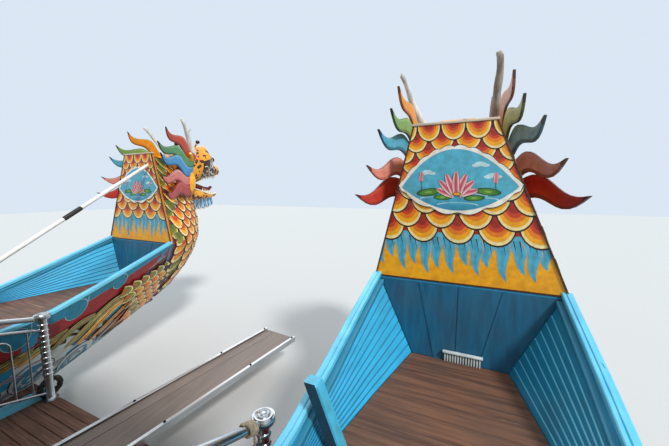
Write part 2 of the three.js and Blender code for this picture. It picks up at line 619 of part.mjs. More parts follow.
// Cabin walls with their windows and doorways cut
const WINDOW = { sill: 800, head: 1820, post: 170 };
const DOORWAY = { sill: 60, head: 1960 };
const PIN = { radius: 8, hole: 9, reach: 22 };
const sideSpan = { rear: CABIN_Y.rear + WALL + GAP, front: CABIN_Y.front - WALL - GAP };
const SIDE_WINDOWS = 6;
function windowsAlong(low, high, count) {
  const pitch = (high - low) / count;
  return Array.from({ length: count }, (_, i) => (
    [low + pitch * i + WINDOW.post / 2, low + pitch * (i + 1) - WINDOW.post / 2]
  ));
}
const sideWindows = windowsAlong(sideSpan.rear + 60, sideSpan.front - 60, SIDE_WINDOWS);
for (const { side, sign } of SIDES) {
  const faces = [sign * (CABIN_HALF - WALL), sign * CABIN_HALF].sort((a, b) => a - b);
  const wall = block(faces, [sideSpan.rear, sideSpan.front], [WALL_BOTTOM, WALL_TOP]);
  const through = [faces[0] - 10, faces[1] + 10];
  const cuts = sideWindows.map((span) => block(through, span, [WALL_BOTTOM + WINDOW.sill, WALL_BOTTOM + WINDOW.head]));
  addNode(`cabin_wall_${side}`, wall.subtract(union(cuts)), 'cream');
}

const LEAF_GAP = 8;
const LEAF = { thick: 24, inset: 24 }; // inset: its pins' axis, from its edge
// End walls: doorway half width, and windows beside it on each side
const END_WALLS = [
  { name: 'cabin_wall_front', y: CABIN_Y.front - WALL, doorHalf: 700, windows: 2 },
  { name: 'cabin_wall_rear', y: CABIN_Y.rear, doorHalf: 420, windows: 2 },
];
function pinPlaces(wall, leafs) {
  return leafs.map((sign) => [sign * (wall.doorHalf - LEAF_GAP - LEAF.inset), wall.y + WALL / 2]);
}
for (const wall of END_WALLS) {
  const depth = [wall.y, wall.y + WALL];
  const through = [wall.y - 10, wall.y + WALL + 10];
  const panes = windowsAlong(wall.doorHalf + 60, CABIN_HALF - 60, wall.windows);
  const cuts = panes.flatMap(([low, high]) => [[low, high], [-high, -low]])
    .map((span) => block(span, through, [WALL_BOTTOM + WINDOW.sill, WALL_BOTTOM + WINDOW.head]));
  const doorway = block([-wall.doorHalf, wall.doorHalf], through,
    [WALL_BOTTOM + DOORWAY.sill, WALL_BOTTOM + DOORWAY.head]);
  const leafs = wall.doorHalf > 500 ? [-1, 1] : [1];
  const pinHoles = pinPlaces(wall, leafs).map(([x, y]) => rod(
    [x, y, WALL_BOTTOM + DOORWAY.sill - PIN.reach - 4], [x, y, WALL_BOTTOM + DOORWAY.head + PIN.reach + 4],
    PIN.hole, 16));
  addNode(wall.name, block([-CABIN_HALF, CABIN_HALF], depth, [WALL_BOTTOM, WALL_TOP])
    .subtract(union([...cuts, doorway, ...pinHoles])), 'cream');
}

// Door leaves on pins at their outer top and bottom corners, with a glazed upper half left open
function doorLeaf(wall, pinSign, width) {
  const [low, high] = [WALL_BOTTOM + DOORWAY.sill + LEAF_GAP, WALL_BOTTOM + DOORWAY.head - LEAF_GAP];
  const edge = pinSign * (wall.doorHalf - LEAF_GAP);
  const spanX = [edge, edge - pinSign * width].sort((a, b) => a - b);
  const depth = [wall.y + (WALL - LEAF.thick) / 2, wall.y + (WALL + LEAF.thick) / 2];
  const [pinX, pinY] = pinPlaces(wall, [pinSign])[0];
  const panel = block(spanX, depth, [low, high]).subtract(block(
    [spanX[0] + 90, spanX[1] - 90], [depth[0] - 5, depth[1] + 5], [low + 900, high - 110]));
  return union([
    panel,
    rod([pinX, pinY, low - LEAF_GAP - PIN.reach], [pinX, pinY, low + 10], PIN.radius, 16),
    rod([pinX, pinY, high - 10], [pinX, pinY, high + LEAF_GAP + PIN.reach], PIN.radius, 16),
  ]);
}
const [frontWall, rearWall] = END_WALLS;
const frontLeaf = frontWall.doorHalf - LEAF_GAP - LEAF_GAP / 2;
for (const { side, sign } of SIDES) addNode(`door_front_${side}`, doorLeaf(frontWall, sign, frontLeaf), 'red');
addNode('door_rear', doorLeaf(rearWall, 1, 2 * (rearWall.doorHalf - LEAF_GAP)), 'red');

// Benches along the side walls
for (const { side, sign } of SIDES) {
  const [inner, outer] = [CABIN_HALF - WALL - 620, CABIN_HALF - WALL - 120];
  const spanOf = (a, b) => [sign * a, sign * b].sort((p, q) => p - q);
  const seat = block(spanOf(inner, outer), [-4000, 2500], [WALL_BOTTOM + 390, WALL_BOTTOM + 440]);
  const back = block(spanOf(outer - 40, outer), [-4000, 2500], [WALL_BOTTOM + 400, WALL_BOTTOM + 780]);
  const legs = [-3900, -2300, -700, 900, 2350].map((y) => (
    block(spanOf(inner + 40, outer - 40), [y, y + 50], [WALL_BOTTOM, WALL_BOTTOM + 400])));
  addNode(`bench_${side}`, union([seat, back, ...legs]), 'bench');
}

// Roof: flat canopy, low wall with vents, tiled gable with turned-up eaves, and ridge
const CANOPY = { half: 3420, rear: -5050, front: 3640, thick: 70 };
const canopyTop = WALL_TOP + GAP + CANOPY.thick;
addNode('roof_canopy', block([-CANOPY.half, CANOPY.half], [CANOPY.rear, CANOPY.front],
  [WALL_TOP + GAP, canopyTop]), 'cream');
const UPPER = { half: 1900, rear: -3700, front: 2300, wall: 240, eaves: 2350, overhang: 450, rise: 700 };
const upperWallTop = canopyTop + GAP + UPPER.wall;
addNode('roof_upper_wall', block([-UPPER.half, UPPER.half], [UPPER.rear, UPPER.front], [canopyTop + GAP, upperWallTop])
  .subtract(block([-UPPER.half + 60, UPPER.half - 60], [UPPER.rear + 60, UPPER.front - 60],
    [canopyTop - 10, upperWallTop + 10])), 'cream');
// Half outline of the gable roof from the ridge out to the turned-up eave
const GABLE = [
  // x, z of the top face; the lower face lies under it
  [0, UPPER.rise], [700, 400], [1500, 160], [2050, 70], [UPPER.eaves, 110],
];
const gableOuter = [...GABLE.slice(1).reverse().map(([x, z]) => [-x, z]), ...GABLE];
const gableOutline = [
  ...gableOuter.map(([x, z]) => [x, upperWallTop + z]),
  [UPPER.eaves, upperWallTop + 60], [2050, upperWallTop + GAP], [-2050, upperWallTop + GAP],
  [-UPPER.eaves, upperWallTop + 60],
];
const roofLength = UPPER.front - UPPER.rear + 2 * UPPER.overhang;
const gable = shifted(plate(gableOutline, 'xz', roofLength), 0, UPPER.front + UPPER.overhang, 0);
addNode('roof_gable', gable, 'tile');
const ridgeZ = upperWallTop + UPPER.rise;
const ridge = plate([
  [UPPER.rear - UPPER.overhang, ridgeZ - 40], [UPPER.front + UPPER.overhang, ridgeZ - 40],
  [UPPER.front + UPPER.overhang + 60, ridgeZ + 260], [UPPER.front + 200, ridgeZ + 110],
  [UPPER.rear - 200, ridgeZ + 110], [UPPER.rear - UPPER.overhang - 60, ridgeZ + 260],
], 'yz', 120).translate([-60, 0, 0]).subtract(shifted(gable, 0, 0, GAP));
addNode('roof_ridge', ridge, 'red');

export default boat;
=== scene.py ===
# %% [markdown]
# # A river boat with two dragon-headed hulls
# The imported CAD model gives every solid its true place. This lesson dresses it: carved and painted
# bows, planked wells, steel rails, a gangplank and a cabin. All sizes are metres, with the bow
# along +Y, starboard along +X and the waterline at zero height.

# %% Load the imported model
import math
import random
import bmesh
import bpy
from mathutils import Matrix, Vector
from mathutils.bvhtree import BVHTree


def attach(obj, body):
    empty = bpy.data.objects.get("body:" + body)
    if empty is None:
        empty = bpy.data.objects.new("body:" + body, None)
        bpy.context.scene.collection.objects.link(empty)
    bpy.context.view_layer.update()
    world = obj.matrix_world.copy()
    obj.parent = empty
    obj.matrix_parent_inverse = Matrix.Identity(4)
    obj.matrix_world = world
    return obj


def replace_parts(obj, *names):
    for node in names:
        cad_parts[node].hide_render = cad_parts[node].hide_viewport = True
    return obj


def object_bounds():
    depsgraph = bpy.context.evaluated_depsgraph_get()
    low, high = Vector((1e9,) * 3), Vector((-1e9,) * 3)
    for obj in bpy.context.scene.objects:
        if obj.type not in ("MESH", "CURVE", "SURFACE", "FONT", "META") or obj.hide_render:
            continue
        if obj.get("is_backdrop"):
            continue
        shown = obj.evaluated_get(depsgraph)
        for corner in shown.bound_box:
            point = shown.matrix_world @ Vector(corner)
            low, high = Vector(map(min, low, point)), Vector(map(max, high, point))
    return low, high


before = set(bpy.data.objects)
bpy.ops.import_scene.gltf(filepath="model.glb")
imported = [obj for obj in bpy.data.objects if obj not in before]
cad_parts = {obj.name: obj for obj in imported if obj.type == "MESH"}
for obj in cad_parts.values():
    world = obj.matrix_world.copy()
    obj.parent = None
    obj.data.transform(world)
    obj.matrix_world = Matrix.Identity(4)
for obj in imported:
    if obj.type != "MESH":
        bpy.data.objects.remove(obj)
CAD_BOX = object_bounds()
scene = bpy.context.scene
chance = random.Random(7)

# %% [markdown]
# ## Camera and light
# The photograph was taken from the starboard hull's well with a wide lens, looking forward and to
# port. The light is a bright overcast day, so one soft sun and a pale sky are enough.

# %% Camera
camera = bpy.data.objects.new("camera", bpy.data.cameras.new("camera"))
scene.collection.objects.link(camera)
camera.data.lens, camera.data.sensor_width = 16.14, 36
camera.location = (2.61, 3.5, 2.70)
camera.rotation_euler = (math.radians(90 - 6.28), 0, math.radians(24.65))
scene.camera = camera
print("lens", camera.data.lens)

# %% Soft sun, pale sky and floor
def sun(name, energy, angle, towards):
    lamp = bpy.data.objects.new(name, bpy.data.lights.new(name, "SUN"))
    scene.collection.objects.link(lamp)
    lamp.data.energy, lamp.data.angle = energy, math.radians(angle)
    lamp.rotation_mode = "QUATERNION"
    lamp.rotation_quaternion = Vector(towards).to_track_quat("-Z", "Y")

sun("day_sun", 2.9, 9, (-0.62, 0.42, -0.72))
sun("sky_fill", 1.0, 60, (0.5, -0.6, -0.6))
world = bpy.data.worlds.new("pale_sky")
scene.world = world
world.use_nodes = True
world.node_tree.nodes["Background"].inputs["Color"].default_value = (0.74, 0.84, 0.95, 1)
world.node_tree.nodes["Background"].inputs["Strength"].default_value = 0.95
scene.view_settings.view_transform = "Standard"
bpy.ops.mesh.primitive_plane_add(size=90)
floor = bpy.context.object
floor.name = "studio_floor"
pale = bpy.data.materials.new("studio_floor")
pale.use_nodes = True
pale.node_tree.nodes["Principled BSDF"].inputs["Base Color"].default_value = (0.5, 0.5, 0.48, 1)
pale.node_tree.nodes["Principled BSDF"].inputs["Roughness"].default_value = 0.9
floor.data.materials.append(pale)
floor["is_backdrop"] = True

# %% [markdown]
# ## Paints and woods
# Every finish is built from the same few nodes: a colour, a cloudy variation, streaks along the
# grain, grime in large patches, chips that show bare wood, and a bump from the same noise. Object
# coordinates keep each pattern fixed on its piece.

# %% Node helpers
def linear(code):
    """A six-digit colour code as linear red, green, blue and alpha."""
    values = [int(code[i:i + 2], 16) / 255 for i in (0, 2, 4)]
    return tuple(v / 12.92 if v <= 0.04045 else ((v + 0.055) / 1.055) ** 2.4 for v in values) + (1.0,)

def add_node(tree, kind, inputs=(), **settings):
    """A shader node; each input is a value or another node's output."""
    node = tree.nodes.new("ShaderNode" + kind)
    for key, value in settings.items():
        setattr(node, key, value)
    for key, value in dict(inputs).items():
        if isinstance(value, bpy.types.NodeSocket):
            tree.links.new(value, node.inputs[key])
        else:
            node.inputs[key].default_value = value
    return node

def mixed(tree, factor, first, second, mode="MIX"):
    node = add_node(tree, "Mix", {0: factor, 6: first, 7: second}, data_type="RGBA", blend_type=mode)
    return node.outputs[2]

def cloud(tree, where, size, low, high, stretch=(1, 1, 1), detail=4):
    """A noise of the given size, as a mask between two of its levels."""
    mapped = add_node(tree, "Mapping", {"Vector": where, "Scale": stretch})
    noise = add_node(tree, "TexNoise", {"Vector": mapped.outputs[0], "Scale": 1 / size, "Detail": detail})
    ramp = add_node(tree, "MapRange", {"Value": noise.outputs["Fac"], "From Min": low, "From Max": high})
    return ramp.outputs[0]

def object_place(tree):
    return add_node(tree, "TexCoord").outputs["Object"]

GRAIN = {"x": (0.06, 1, 1), "y": (1, 0.06, 1), "z": (1, 1, 0.06), "none": (1, 1, 1)}

def finish(name, colour, second=None, rough=0.45, metal=0.0, grain="none", streak=0.35, grime=0.35,
           chips=0.0, bare="8a7a66", bump=0.25, fine=0.02, source=None):
    """A weathered paint, wood or metal; source builds its colour from other nodes."""
    made = bpy.data.materials.new(name)
    made.use_nodes = True
    tree = made.node_tree
    shader = tree.nodes["Principled BSDF"]
    where = object_place(tree)
    base = source(tree, where) if source else linear(colour)
    other = linear(second) if second else tuple(0.62 * c for c in linear(colour)[:3]) + (1.0,)
    streaks = cloud(tree, where, fine * 2.5, 0.38, 0.68, GRAIN[grain], 6)
    if source:
        shade = mixed(tree, streaks, (1, 1, 1, 1), (0.74, 0.7, 0.66, 1))
        tone = mixed(tree, streak, base, mixed(tree, 1.0, base, shade, "MULTIPLY"))
    else:
        amount = add_node(tree, "Math", {0: streaks, 1: streak}, operation="MULTIPLY").outputs[0]
        tone = mixed(tree, amount, base, other)
    patches = cloud(tree, where, 0.45, 0.5, 0.85, detail=8)
    dirty = add_node(tree, "Math", {0: patches, 1: grime}, operation="MULTIPLY").outputs[0]
    tone = mixed(tree, dirty, tone, (0.045, 0.04, 0.032, 1))
    if chips:
        worn = cloud(tree, where, 0.07, 0.78 - chips, 0.8 - chips, GRAIN[grain], 9)
        tone = mixed(tree, worn, tone, linear(bare))
    tree.links.new(tone, shader.inputs["Base Color"])
    gloss = add_node(tree, "MapRange", {"Value": patches, "To Min": rough, "To Max": min(1, rough + 0.3)})
    tree.links.new(gloss.outputs[0], shader.inputs["Roughness"])
    shader.inputs["Metallic"].default_value = metal
    relief = add_node(tree, "Bump", {"Height": streaks, "Strength": bump, "Distance": 0.004})
    tree.links.new(relief.outputs[0], shader.inputs["Normal"])
    return made

def hand_paint(tree, where):
    """The colour painted on each face, slightly uneven as a brush leaves it."""
    paint = add_node(tree, "Attribute", attribute_name="paint").outputs["Color"]
    brush = cloud(tree, where, 0.06, 0.3, 0.75, detail=5)
    return mixed(tree, brush, paint, mixed(tree, 1.0, paint, (0.8, 0.72, 0.66, 1), "MULTIPLY"))

ORNAMENT = finish("ornament_paint", "ffffff", source=hand_paint, rough=0.42, streak=0.5, grime=0.2, bump=0.2)
print("finishes", len(bpy.data.materials))

# %% [markdown]
# ## Where things are
# Each bow is described once, from its own board: x from the hull's centreline, y from the board's
# aft face and z from the well's floor. Above the board's foot both bows lean towards each other.

# %% Places on a hull
SIDES = {"port": -1, "starboard": 1}
HANDS = {-1: "port", 1: "starboard"}
HULL_X, BOARD_Y, WELL_Z, LEAN = 2.55, 6.4, 1.15, 0.085
AHEAD = {"port": 0.32, "starboard": 0.0}
FOOT_Z, TOP_Z, FOOT_HALF, TOP_HALF = 0.69, 2.13, 0.81, 0.35

def place(side, x, y, z):
    sign = SIDES[side]
    lean = sign * LEAN * max(0.0, z - FOOT_Z)
    return (sign * HULL_X + x - lean, BOARD_Y + AHEAD[side] + y, WELL_Z + z)

def on_hull(side, x, y, z):
    """A point given from the hull's centreline, amidships and the waterline."""
    return (SIDES[side] * HULL_X + x, AHEAD[side] + y, z)

STATIONS = [
    # y, keel z, bilge half, bilge z, side half, side z, gunwale half, gunwale z
    (-7.6, 0.06, 0.42, 0.18, 0.6, 0.56, 0.72, 1.28), (-6.9, -0.08, 0.46, 0.03, 0.66, 0.38, 0.79, 1.18),
    (-6.3, -0.45, 0.5, -0.25, 0.72, 0.2, 0.84, 1.18), (-4.6, -0.45, 0.56, -0.33, 0.76, 0.15, 0.87, 1.18),
    (1.5, -0.45, 0.56, -0.33, 0.76, 0.15, 0.87, 1.18), (3.3, -0.33, 0.525, -0.16, 0.735, 0.27, 0.87, 1.18),
    (4.2, -0.14, 0.47, 0.09, 0.7, 0.48, 0.868, 1.2), (4.84, 0.06, 0.41, 0.32, 0.68, 0.74, 0.862, 1.29),
    (5.3, 0.24, 0.37, 0.48, 0.665, 0.89, 0.85, 1.44), (5.7, 0.4, 0.34, 0.66, 0.64, 1.04, 0.84, 1.585),
    (6.4, 0.715, 0.3, 0.97, 0.562, 1.325, 0.812, 1.84), (6.43, 0.73, 0.298, 0.985, 0.56, 1.332, 0.81, 1.84),
]
STATION_YS = [row[0] for row in STATIONS]
KEYS = ("keel", "bilge_half", "bilge", "side_half", "side", "gun_half", "gun")

def between(rows, at):
    """The values at a place between two rows; each row starts with its place."""
    for low, high in zip(rows, rows[1:]):
        if at <= high[0]:
            part = max(0.0, (at - low[0]) / (high[0] - low[0]))
            return tuple(a + (b - a) * part for a, b in zip(low[1:], high[1:]))
    return tuple(rows[-1][1:])

def hull_at(y):
    """The hull's section at y, between the two stations next to it."""
    return dict(zip(KEYS, between(STATIONS, y)))

WELL = [(3.2, 0.808), (4.2, 0.79), (4.84, 0.69), (5.57, 0.56), (6.3, 0.41)]
WELL_YS = [row[0] for row in WELL]
WELL_BOTTOM = 1.1317

def wall_at(y, z):
    """The well's half width at y and height z."""
    rows = []
    for station, half in WELL:
        section = hull_at(station)
        top_half = section["gun_half"] - 0.06
        flare = (top_half - half) / (section["gun"] - WELL_BOTTOM) * 0.3
        rows.append((station, half, top_half + flare, section["gun"] + 0.3))
    half, top_half, top = between(rows, y)
    return half + (top_half - half) * (z - WELL_BOTTOM) / (top - WELL_BOTTOM)

def board_half(z):
    return FOOT_HALF + (TOP_HALF - FOOT_HALF) * (z - FOOT_Z) / (TOP_Z - FOOT_Z)

print("board top at", place("starboard", 0, 0, TOP_Z))

# %% [markdown]
# ## Making meshes
# Straight timber, plates and turned metal start as a cube or a circle and are shaped in edit mode.
# What follows the hull's sheer, and painted ornament with hundreds of exact edges, can't be made
# that way, so one small class collects its rings and patches and makes one closed mesh of them.

# %% Pieces from primitives
def settle(piece, body, *materials, smooth=40):
    """Places the mesh in the frame, gives it its finish and lets it ride."""
    bpy.context.view_layer.objects.active = piece
    for o in bpy.context.selected_objects:
        o.select_set(False)
    piece.select_set(True)
    bpy.ops.object.transform_apply(location=True, rotation=True, scale=True)
    for m in materials:
        piece.data.materials.append(m)
    bpy.ops.object.shade_smooth_by_angle(angle=math.radians(smooth))
    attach(piece, body)
    return piece

def clean_start():
    if bpy.context.object and bpy.context.object.mode != "OBJECT":
        bpy.ops.object.mode_set(mode="OBJECT")
    bpy.ops.object.select_all(action="DESELECT")

def joined(name, parts):
    """Several finished primitives as one object."""
    clean_start()
    for p in parts:
        p.select_set(True)
    bpy.context.view_layer.objects.active = parts[0]
    if len(parts) > 1:
        bpy.ops.object.join()
    parts[0].name = name
    return parts[0]

def carpentry(name, parts, body, node, *materials, smooth=30):
    """Primitives joined as one finished piece, which replaces the node if there is one."""
    made = settle(joined(name, parts), body, *materials, smooth=smooth)
    if node:
        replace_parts(made, node)
    return made

def timber(low, high, bevel=0.004, turn=None, segments=2):
    """A squared and eased length of timber, turned about its middle where asked."""
    clean_start()
    size = [b - a for a, b in zip(low, high)]
    middle = [(a + b) / 2 for a, b in zip(low, high)]
    bpy.ops.mesh.primitive_cube_add(size=1, location=middle)
    piece = bpy.context.object
    piece.scale = size
    bpy.ops.object.transform_apply(location=True, rotation=True, scale=True)
    bpy.ops.object.mode_set(mode="EDIT")
    bpy.ops.mesh.bevel(offset=min(bevel, min(size) * 0.3), segments=segments, affect="EDGES")
    bpy.ops.object.mode_set(mode="OBJECT")
    if turn:
        pivot = Matrix.Translation(middle)
        piece.data.transform(pivot @ turn.to_matrix().to_4x4() @ pivot.inverted())
    return piece

def turned(profile, base, axis=(0, 0, 1), sides=32):
    """A turned piece: (radius, height) points spun about an axis that starts at base."""
    clean_start()
    bpy.ops.mesh.primitive_circle_add(vertices=sides, radius=profile[0][0], fill_type="NGON")
    piece = bpy.context.object
    bpy.ops.object.mode_set(mode="EDIT")
    for (radius, height), (next_radius, next_height) in zip(profile, profile[1:]):
        bpy.ops.mesh.extrude_region_move(TRANSFORM_OT_translate={"value": (0, 0, next_height - height)})
        factor = next_radius / radius
        bpy.ops.transform.resize(value=(factor, factor, 1))
    bpy.ops.mesh.select_all(action="SELECT")
    bpy.ops.mesh.normals_make_consistent(inside=False)
    bpy.ops.object.mode_set(mode="OBJECT")
    turn = Vector((0, 0, 1)).rotation_difference(Vector(axis)).to_matrix().to_4x4()
    piece.data.transform(Matrix.Translation(base) @ turn @ Matrix.Translation((0, 0, profile[0][1])))
    return piece

# %% Lofts and patches of paint
def circle(steps, turn=0.0):
    """Points round a circle of radius 1."""
    return [(math.cos(t), math.sin(t)) for t in (2 * math.pi * (i + turn) / steps for i in range(steps))]

def rotated(points, turn, x=0.0, z=0.0):
    """Points turned about the origin and then moved to x and z."""
    c, s = math.cos(turn), math.sin(turn)
    return [(x + p * c - q * s, z + p * s + q * c) for p, q in points]

def towards(points, middle, y_part, z_part):
    """An outline drawn in towards a middle, by a part of the way in each direction."""
    return [(y + (middle[0] - y) * y_part, z + (middle[1] - z) * z_part) for y, z in points]

class Shape:
    """Collects closed rings and patches, each with its paint, as one mesh."""
    def __init__(self):
        self.points, self.faces, self.paint = [], [], []

    def face(self, corners, colour):
        self.faces.append(list(corners))
        self.paint += [*colour] * len(self.faces[-1])

    def loft(self, rings, colour=(1, 1, 1, 1), loop=False):
        """Closed rings joined one to the next; colour may be a function of part and corner."""
        start, count = len(self.points), len(rings[0])
        for ring in rings:
            self.points += [tuple(p) for p in ring]
        spans = len(rings) if loop else len(rings) - 1
        for r in range(spans):
            a, b = start + r * count, start + (r + 1) % len(rings) * count
            for i in range(count):
                j = (i + 1) % count
                paint = colour(r / spans, i) if callable(colour) else colour
                self.face((a + i, a + j, b + j, b + i), paint)
        if not loop:
            for end, part in ((start, 0), (start + spans * count, 1)):
                self.face(range(end, end + count), colour(part, 0) if callable(colour) else colour)

    def pipe(self, route, radius, colour=(1, 1, 1, 1), sides=10):
        """A round bar along a route; radius may be a function of the part along it."""
        route = [Vector(p) for p in route]
        last = len(route) - 1
        rings, across = [], None
        for i, p in enumerate(route):
            along = (route[min(i + 1, last)] - route[max(i - 1, 0)]).normalized()
            across = across or along.orthogonal()
            across = (across - along * across.dot(along)).normalized()
            third = along.cross(across)
            size = radius(i / last) if callable(radius) else radius
            rings.append([p + size * (c * across + s * third) for c, s in circle(sides)])
        self.loft(rings, colour)

    def patch(self, surface, outline, colour, top, base=0.0):
        """A thin plate with the outline given on a surface (u, v, height) -> point."""
        if len(outline) < 3:
            return
        start, count = len(self.points), len(outline)
        for height in (top, base):
            self.points += [tuple(surface(u, v, height)) for u, v in outline]
        self.face(range(start, start + count), colour)
        self.face(reversed(range(start + count, start + 2 * count)), colour)
        for i in range(count):
            j = (i + 1) % count
            self.face((start + i, start + count + i, start + count + j, start + j), colour)

    def piece(self, name, body, *materials, smooth=40):
        """The finished object, with its normals outward."""
        mesh = bpy.data.meshes.new(name)
        mesh.from_pydata(self.points, [], self.faces)
        layer = mesh.color_attributes.new("paint", "FLOAT_COLOR", "CORNER")
        layer.data.foreach_set("color", self.paint)
        work = bmesh.new()
        work.from_mesh(mesh)
        bmesh.ops.recalc_face_normals(work, faces=work.faces)
        work.to_mesh(mesh)
        work.free()
        made = bpy.data.objects.new(name, mesh)
        scene.collection.objects.link(made)
        return settle(made, body, *materials, smooth=smooth)

def clipped(outline, fence):
    """The part of an outline inside a convex fence that runs anticlockwise."""
    for (ax, ay), (bx, by) in zip(fence, fence[1:] + fence[:1]):
        side_of = lambda p: (bx - ax) * (p[1] - ay) - (by - ay) * (p[0] - ax)
        kept = []
        for p, q in zip(outline, outline[1:] + outline[:1]):
            s, t = side_of(p), side_of(q)
            if s >= 0:
                kept.append(p)
            if s * t < 0:
                part = s / (s - t)
                kept.append((p[0] + (q[0] - p[0]) * part, p[1] + (q[1] - p[1]) * part))
        outline = kept
    return outline

def blended(a, b, part):
    return tuple(x + (y - x) * part for x, y in zip(a, b))

# %% [markdown]
# ## The back boards
# Behind each head stands a wide board, painted with hanging fish scales. Every scale is a dark
# line, a pale rim and a body that goes from yellow to red, so it is laid on as nested plates of
# paint, each row a little over the row below it. The medallion gets a lotus on still water.

# %% Colours of the ornament
INK, RIM = linear("2b1710"), linear("f7e3a0")
YELLOW, ORANGE, FLAME_RED, DEEP_RED = (linear(c) for c in ("f8ae14", "ea7c1c", "cf4120", "a32a1c"))
SKY, PALE, WATER, WHITE = (linear(c) for c in ("55b4cf", "bfe3ea", "2f8fb0", "f4f1e4"))
SCALE_RINGS = [(1.0, INK), (0.94, RIM), (0.83, YELLOW), (0.66, ORANGE), (0.5, FLAME_RED), (0.36, DEEP_RED)]

def hanging(middle, top, width, drop, factor):
    """A hanging scale, shrunk about the middle of its top edge."""
    return [(middle + width / 2 * factor * math.cos(t), top - drop * factor * math.sin(t) ** 0.75)
            for t in (math.pi * i / 12 for i in range(13))]

def spine(root, tip):
    """Gives the point at a part of the way from root to tip and a distance beside that line."""
    (x0, z0), (x1, z1) = root, tip
    length = math.hypot(x1 - x0, z1 - z0)
    right, up = -(z1 - z0) / length, (x1 - x0) / length
    return lambda t, beside: (x0 + (x1 - x0) * t + right * beside, z0 + (z1 - z0) * t + up * beside)

def tapered(root, tip, steps, half, shift):
    """An outline about a curved spine; half width and shift are functions of the part along it."""
    at, parts = spine(root, tip), [i / steps for i in range(steps + 1)]
    left, right = ([at(t, shift(t) + way * half(t)) for t in parts] for way in (1, -1))
    return left + right[-2::-1]

def pointed(root, tip, width, bend):
    """A curved tongue with a full middle and a rounded point."""
    return tapered(root, tip, 10, lambda t: width / 2 * math.sqrt(1 - t ** 1.6) * (0.75 + 0.5 * t),
                   lambda t: bend * math.sin(math.pi * t * 1.5))

def licked(root, tip, width, bend):
    """An S-shaped tongue that narrows all the way to a sharp tip."""
    return tapered(root, tip, 12, lambda t: width / 2 * (1 - t) ** 0.7,
                   lambda t: bend * math.sin(2 * math.pi * t))

def layered(shape, surface, rings, height, fence=None, step=0.00012):
    """Nested outlines, each a step prouder than the one before."""
    for i, (outline, colour) in enumerate(rings):
        outline = clipped(outline, fence) if fence else outline
        shape.patch(surface, outline, colour, height + i * step, height - 0.004 if height > 0.004 else 0)

# %% Scales, tongues and edge of a board
EDGE = 0.014
FENCE = [(-FOOT_HALF + EDGE, FOOT_Z + 0.004), (FOOT_HALF - EDGE, FOOT_Z + 0.004),
         (TOP_HALF - EDGE, TOP_Z - 0.004), (-TOP_HALF + EDGE, TOP_Z - 0.004)]

def scale_rows(top, bottom, pitch, growth):
    """Rows from top to bottom whose pitch grows, as (top edge, pitch)."""
    rows = []
    while top - pitch > bottom:
        rows.append((top, pitch))
        top -= pitch
        pitch *= growth
    return rows

def board_scales(shape, surface):
    """Rows of hanging scales over the upper part of the board, laid from the lowest row up."""
    shape.patch(surface, clipped([(-1, 1.08), (1, 1.08), (1, TOP_Z), (-1, TOP_Z)], FENCE), DEEP_RED, 0.0006)
    rows = scale_rows(TOP_Z + 0.02, 1.16, 0.086, 1.055)
    for number, (top, pitch) in reversed(list(enumerate(rows))):
        width, height = pitch * 2.35, 0.001 + 0.0009 * (len(rows) - number)
        count = int(board_half(top - pitch) / width) + 1
        shift = 0.5 if number % 2 else 0.0
        for k in range(-count, count + 1):
            middle = (k + shift) * width + chance.uniform(-0.04, 0.04) * width
            rings = [(hanging(middle, top, width * 1.02, pitch * 1.95, f), c) for f, c in SCALE_RINGS]
            layered(shape, surface, rings, height, FENCE)

def board_tongues(shape, surface):
    """Blue tongues that lick down from under the scales over a yellow ground."""
    shape.patch(surface, clipped([(-1, 0.69), (1, 0.69), (1, 1.16), (-1, 1.16)], FENCE), YELLOW, 0.0004)
    shape.patch(surface, clipped([(-1, 1.03), (1, 1.03), (1, 1.16), (-1, 1.16)], FENCE), SKY, 0.0009)
    reaches = (0.17, 0.27, 0.2, 0.3, 0.22, 0.25)
    for k in range(-7, 8):
        x = k * 0.108 + chance.uniform(-0.012, 0.012)
        reach = reaches[k % 6] + chance.uniform(-0.02, 0.02)
        tip = (x + chance.uniform(0.01, 0.06), 1.05 - reach)
        bend = 0.016 if k % 2 else 0.011
        rings = [(licked((x, 1.12), tip, 0.145 * f, bend), c)
                 for f, c in ((1.0, blended(YELLOW, FLAME_RED, 0.25)), (0.93, SKY),
                              (0.3, blended(SKY, WATER, 0.4)))]
        layered(shape, surface, rings, 0.0011 + 0.0004 * (k % 2), FENCE)
        for shift, size in ((0.03, 0.09), (-0.016, 0.06)):
            root = (x + shift, 1.12)
            stroke = [(root[0] - 0.005, root[1]), (root[0] + 0.005, root[1]), (root[0] + 0.018, 1.07 - size)]
            layered(shape, surface, [(stroke, linear("12303f"))], 0.00182, FENCE)

def board_edge(shape, surface):
    """A dark strip down each edge and along the foot, with nail heads in it."""
    for sign in (-1, 1):
        strip = [(sign * FOOT_HALF, FOOT_Z), (sign * TOP_HALF, TOP_Z),
                 (sign * (TOP_HALF - EDGE), TOP_Z), (sign * (FOOT_HALF - EDGE), FOOT_Z)]
        shape.patch(surface, strip, linear("4a2a1a"), 0.0125)
        for k in range(16):
            z = FOOT_Z + 0.05 + k * 0.088
            x = sign * (board_half(z) - EDGE / 2)
            heads = [[surface(x + r * c, z + r * s, h) for c, s in circle(8)]
                     for r, h in ((0.0045, 0.012), (0.003, 0.0145))]
            shape.loft(heads, linear("6b5b50"))
    foot = [(-FOOT_HALF, FOOT_Z), (FOOT_HALF, FOOT_Z), (FOOT_HALF, FOOT_Z + 0.012),
            (-FOOT_HALF, FOOT_Z + 0.012)]
    shape.patch(surface, foot, linear("4a2a1a"), 0.0115)

# %% The medallion: a lotus on still water
LENS = {"half": 0.5, "middle": 1.575, "rise": 0.345, "fall": 0.215}

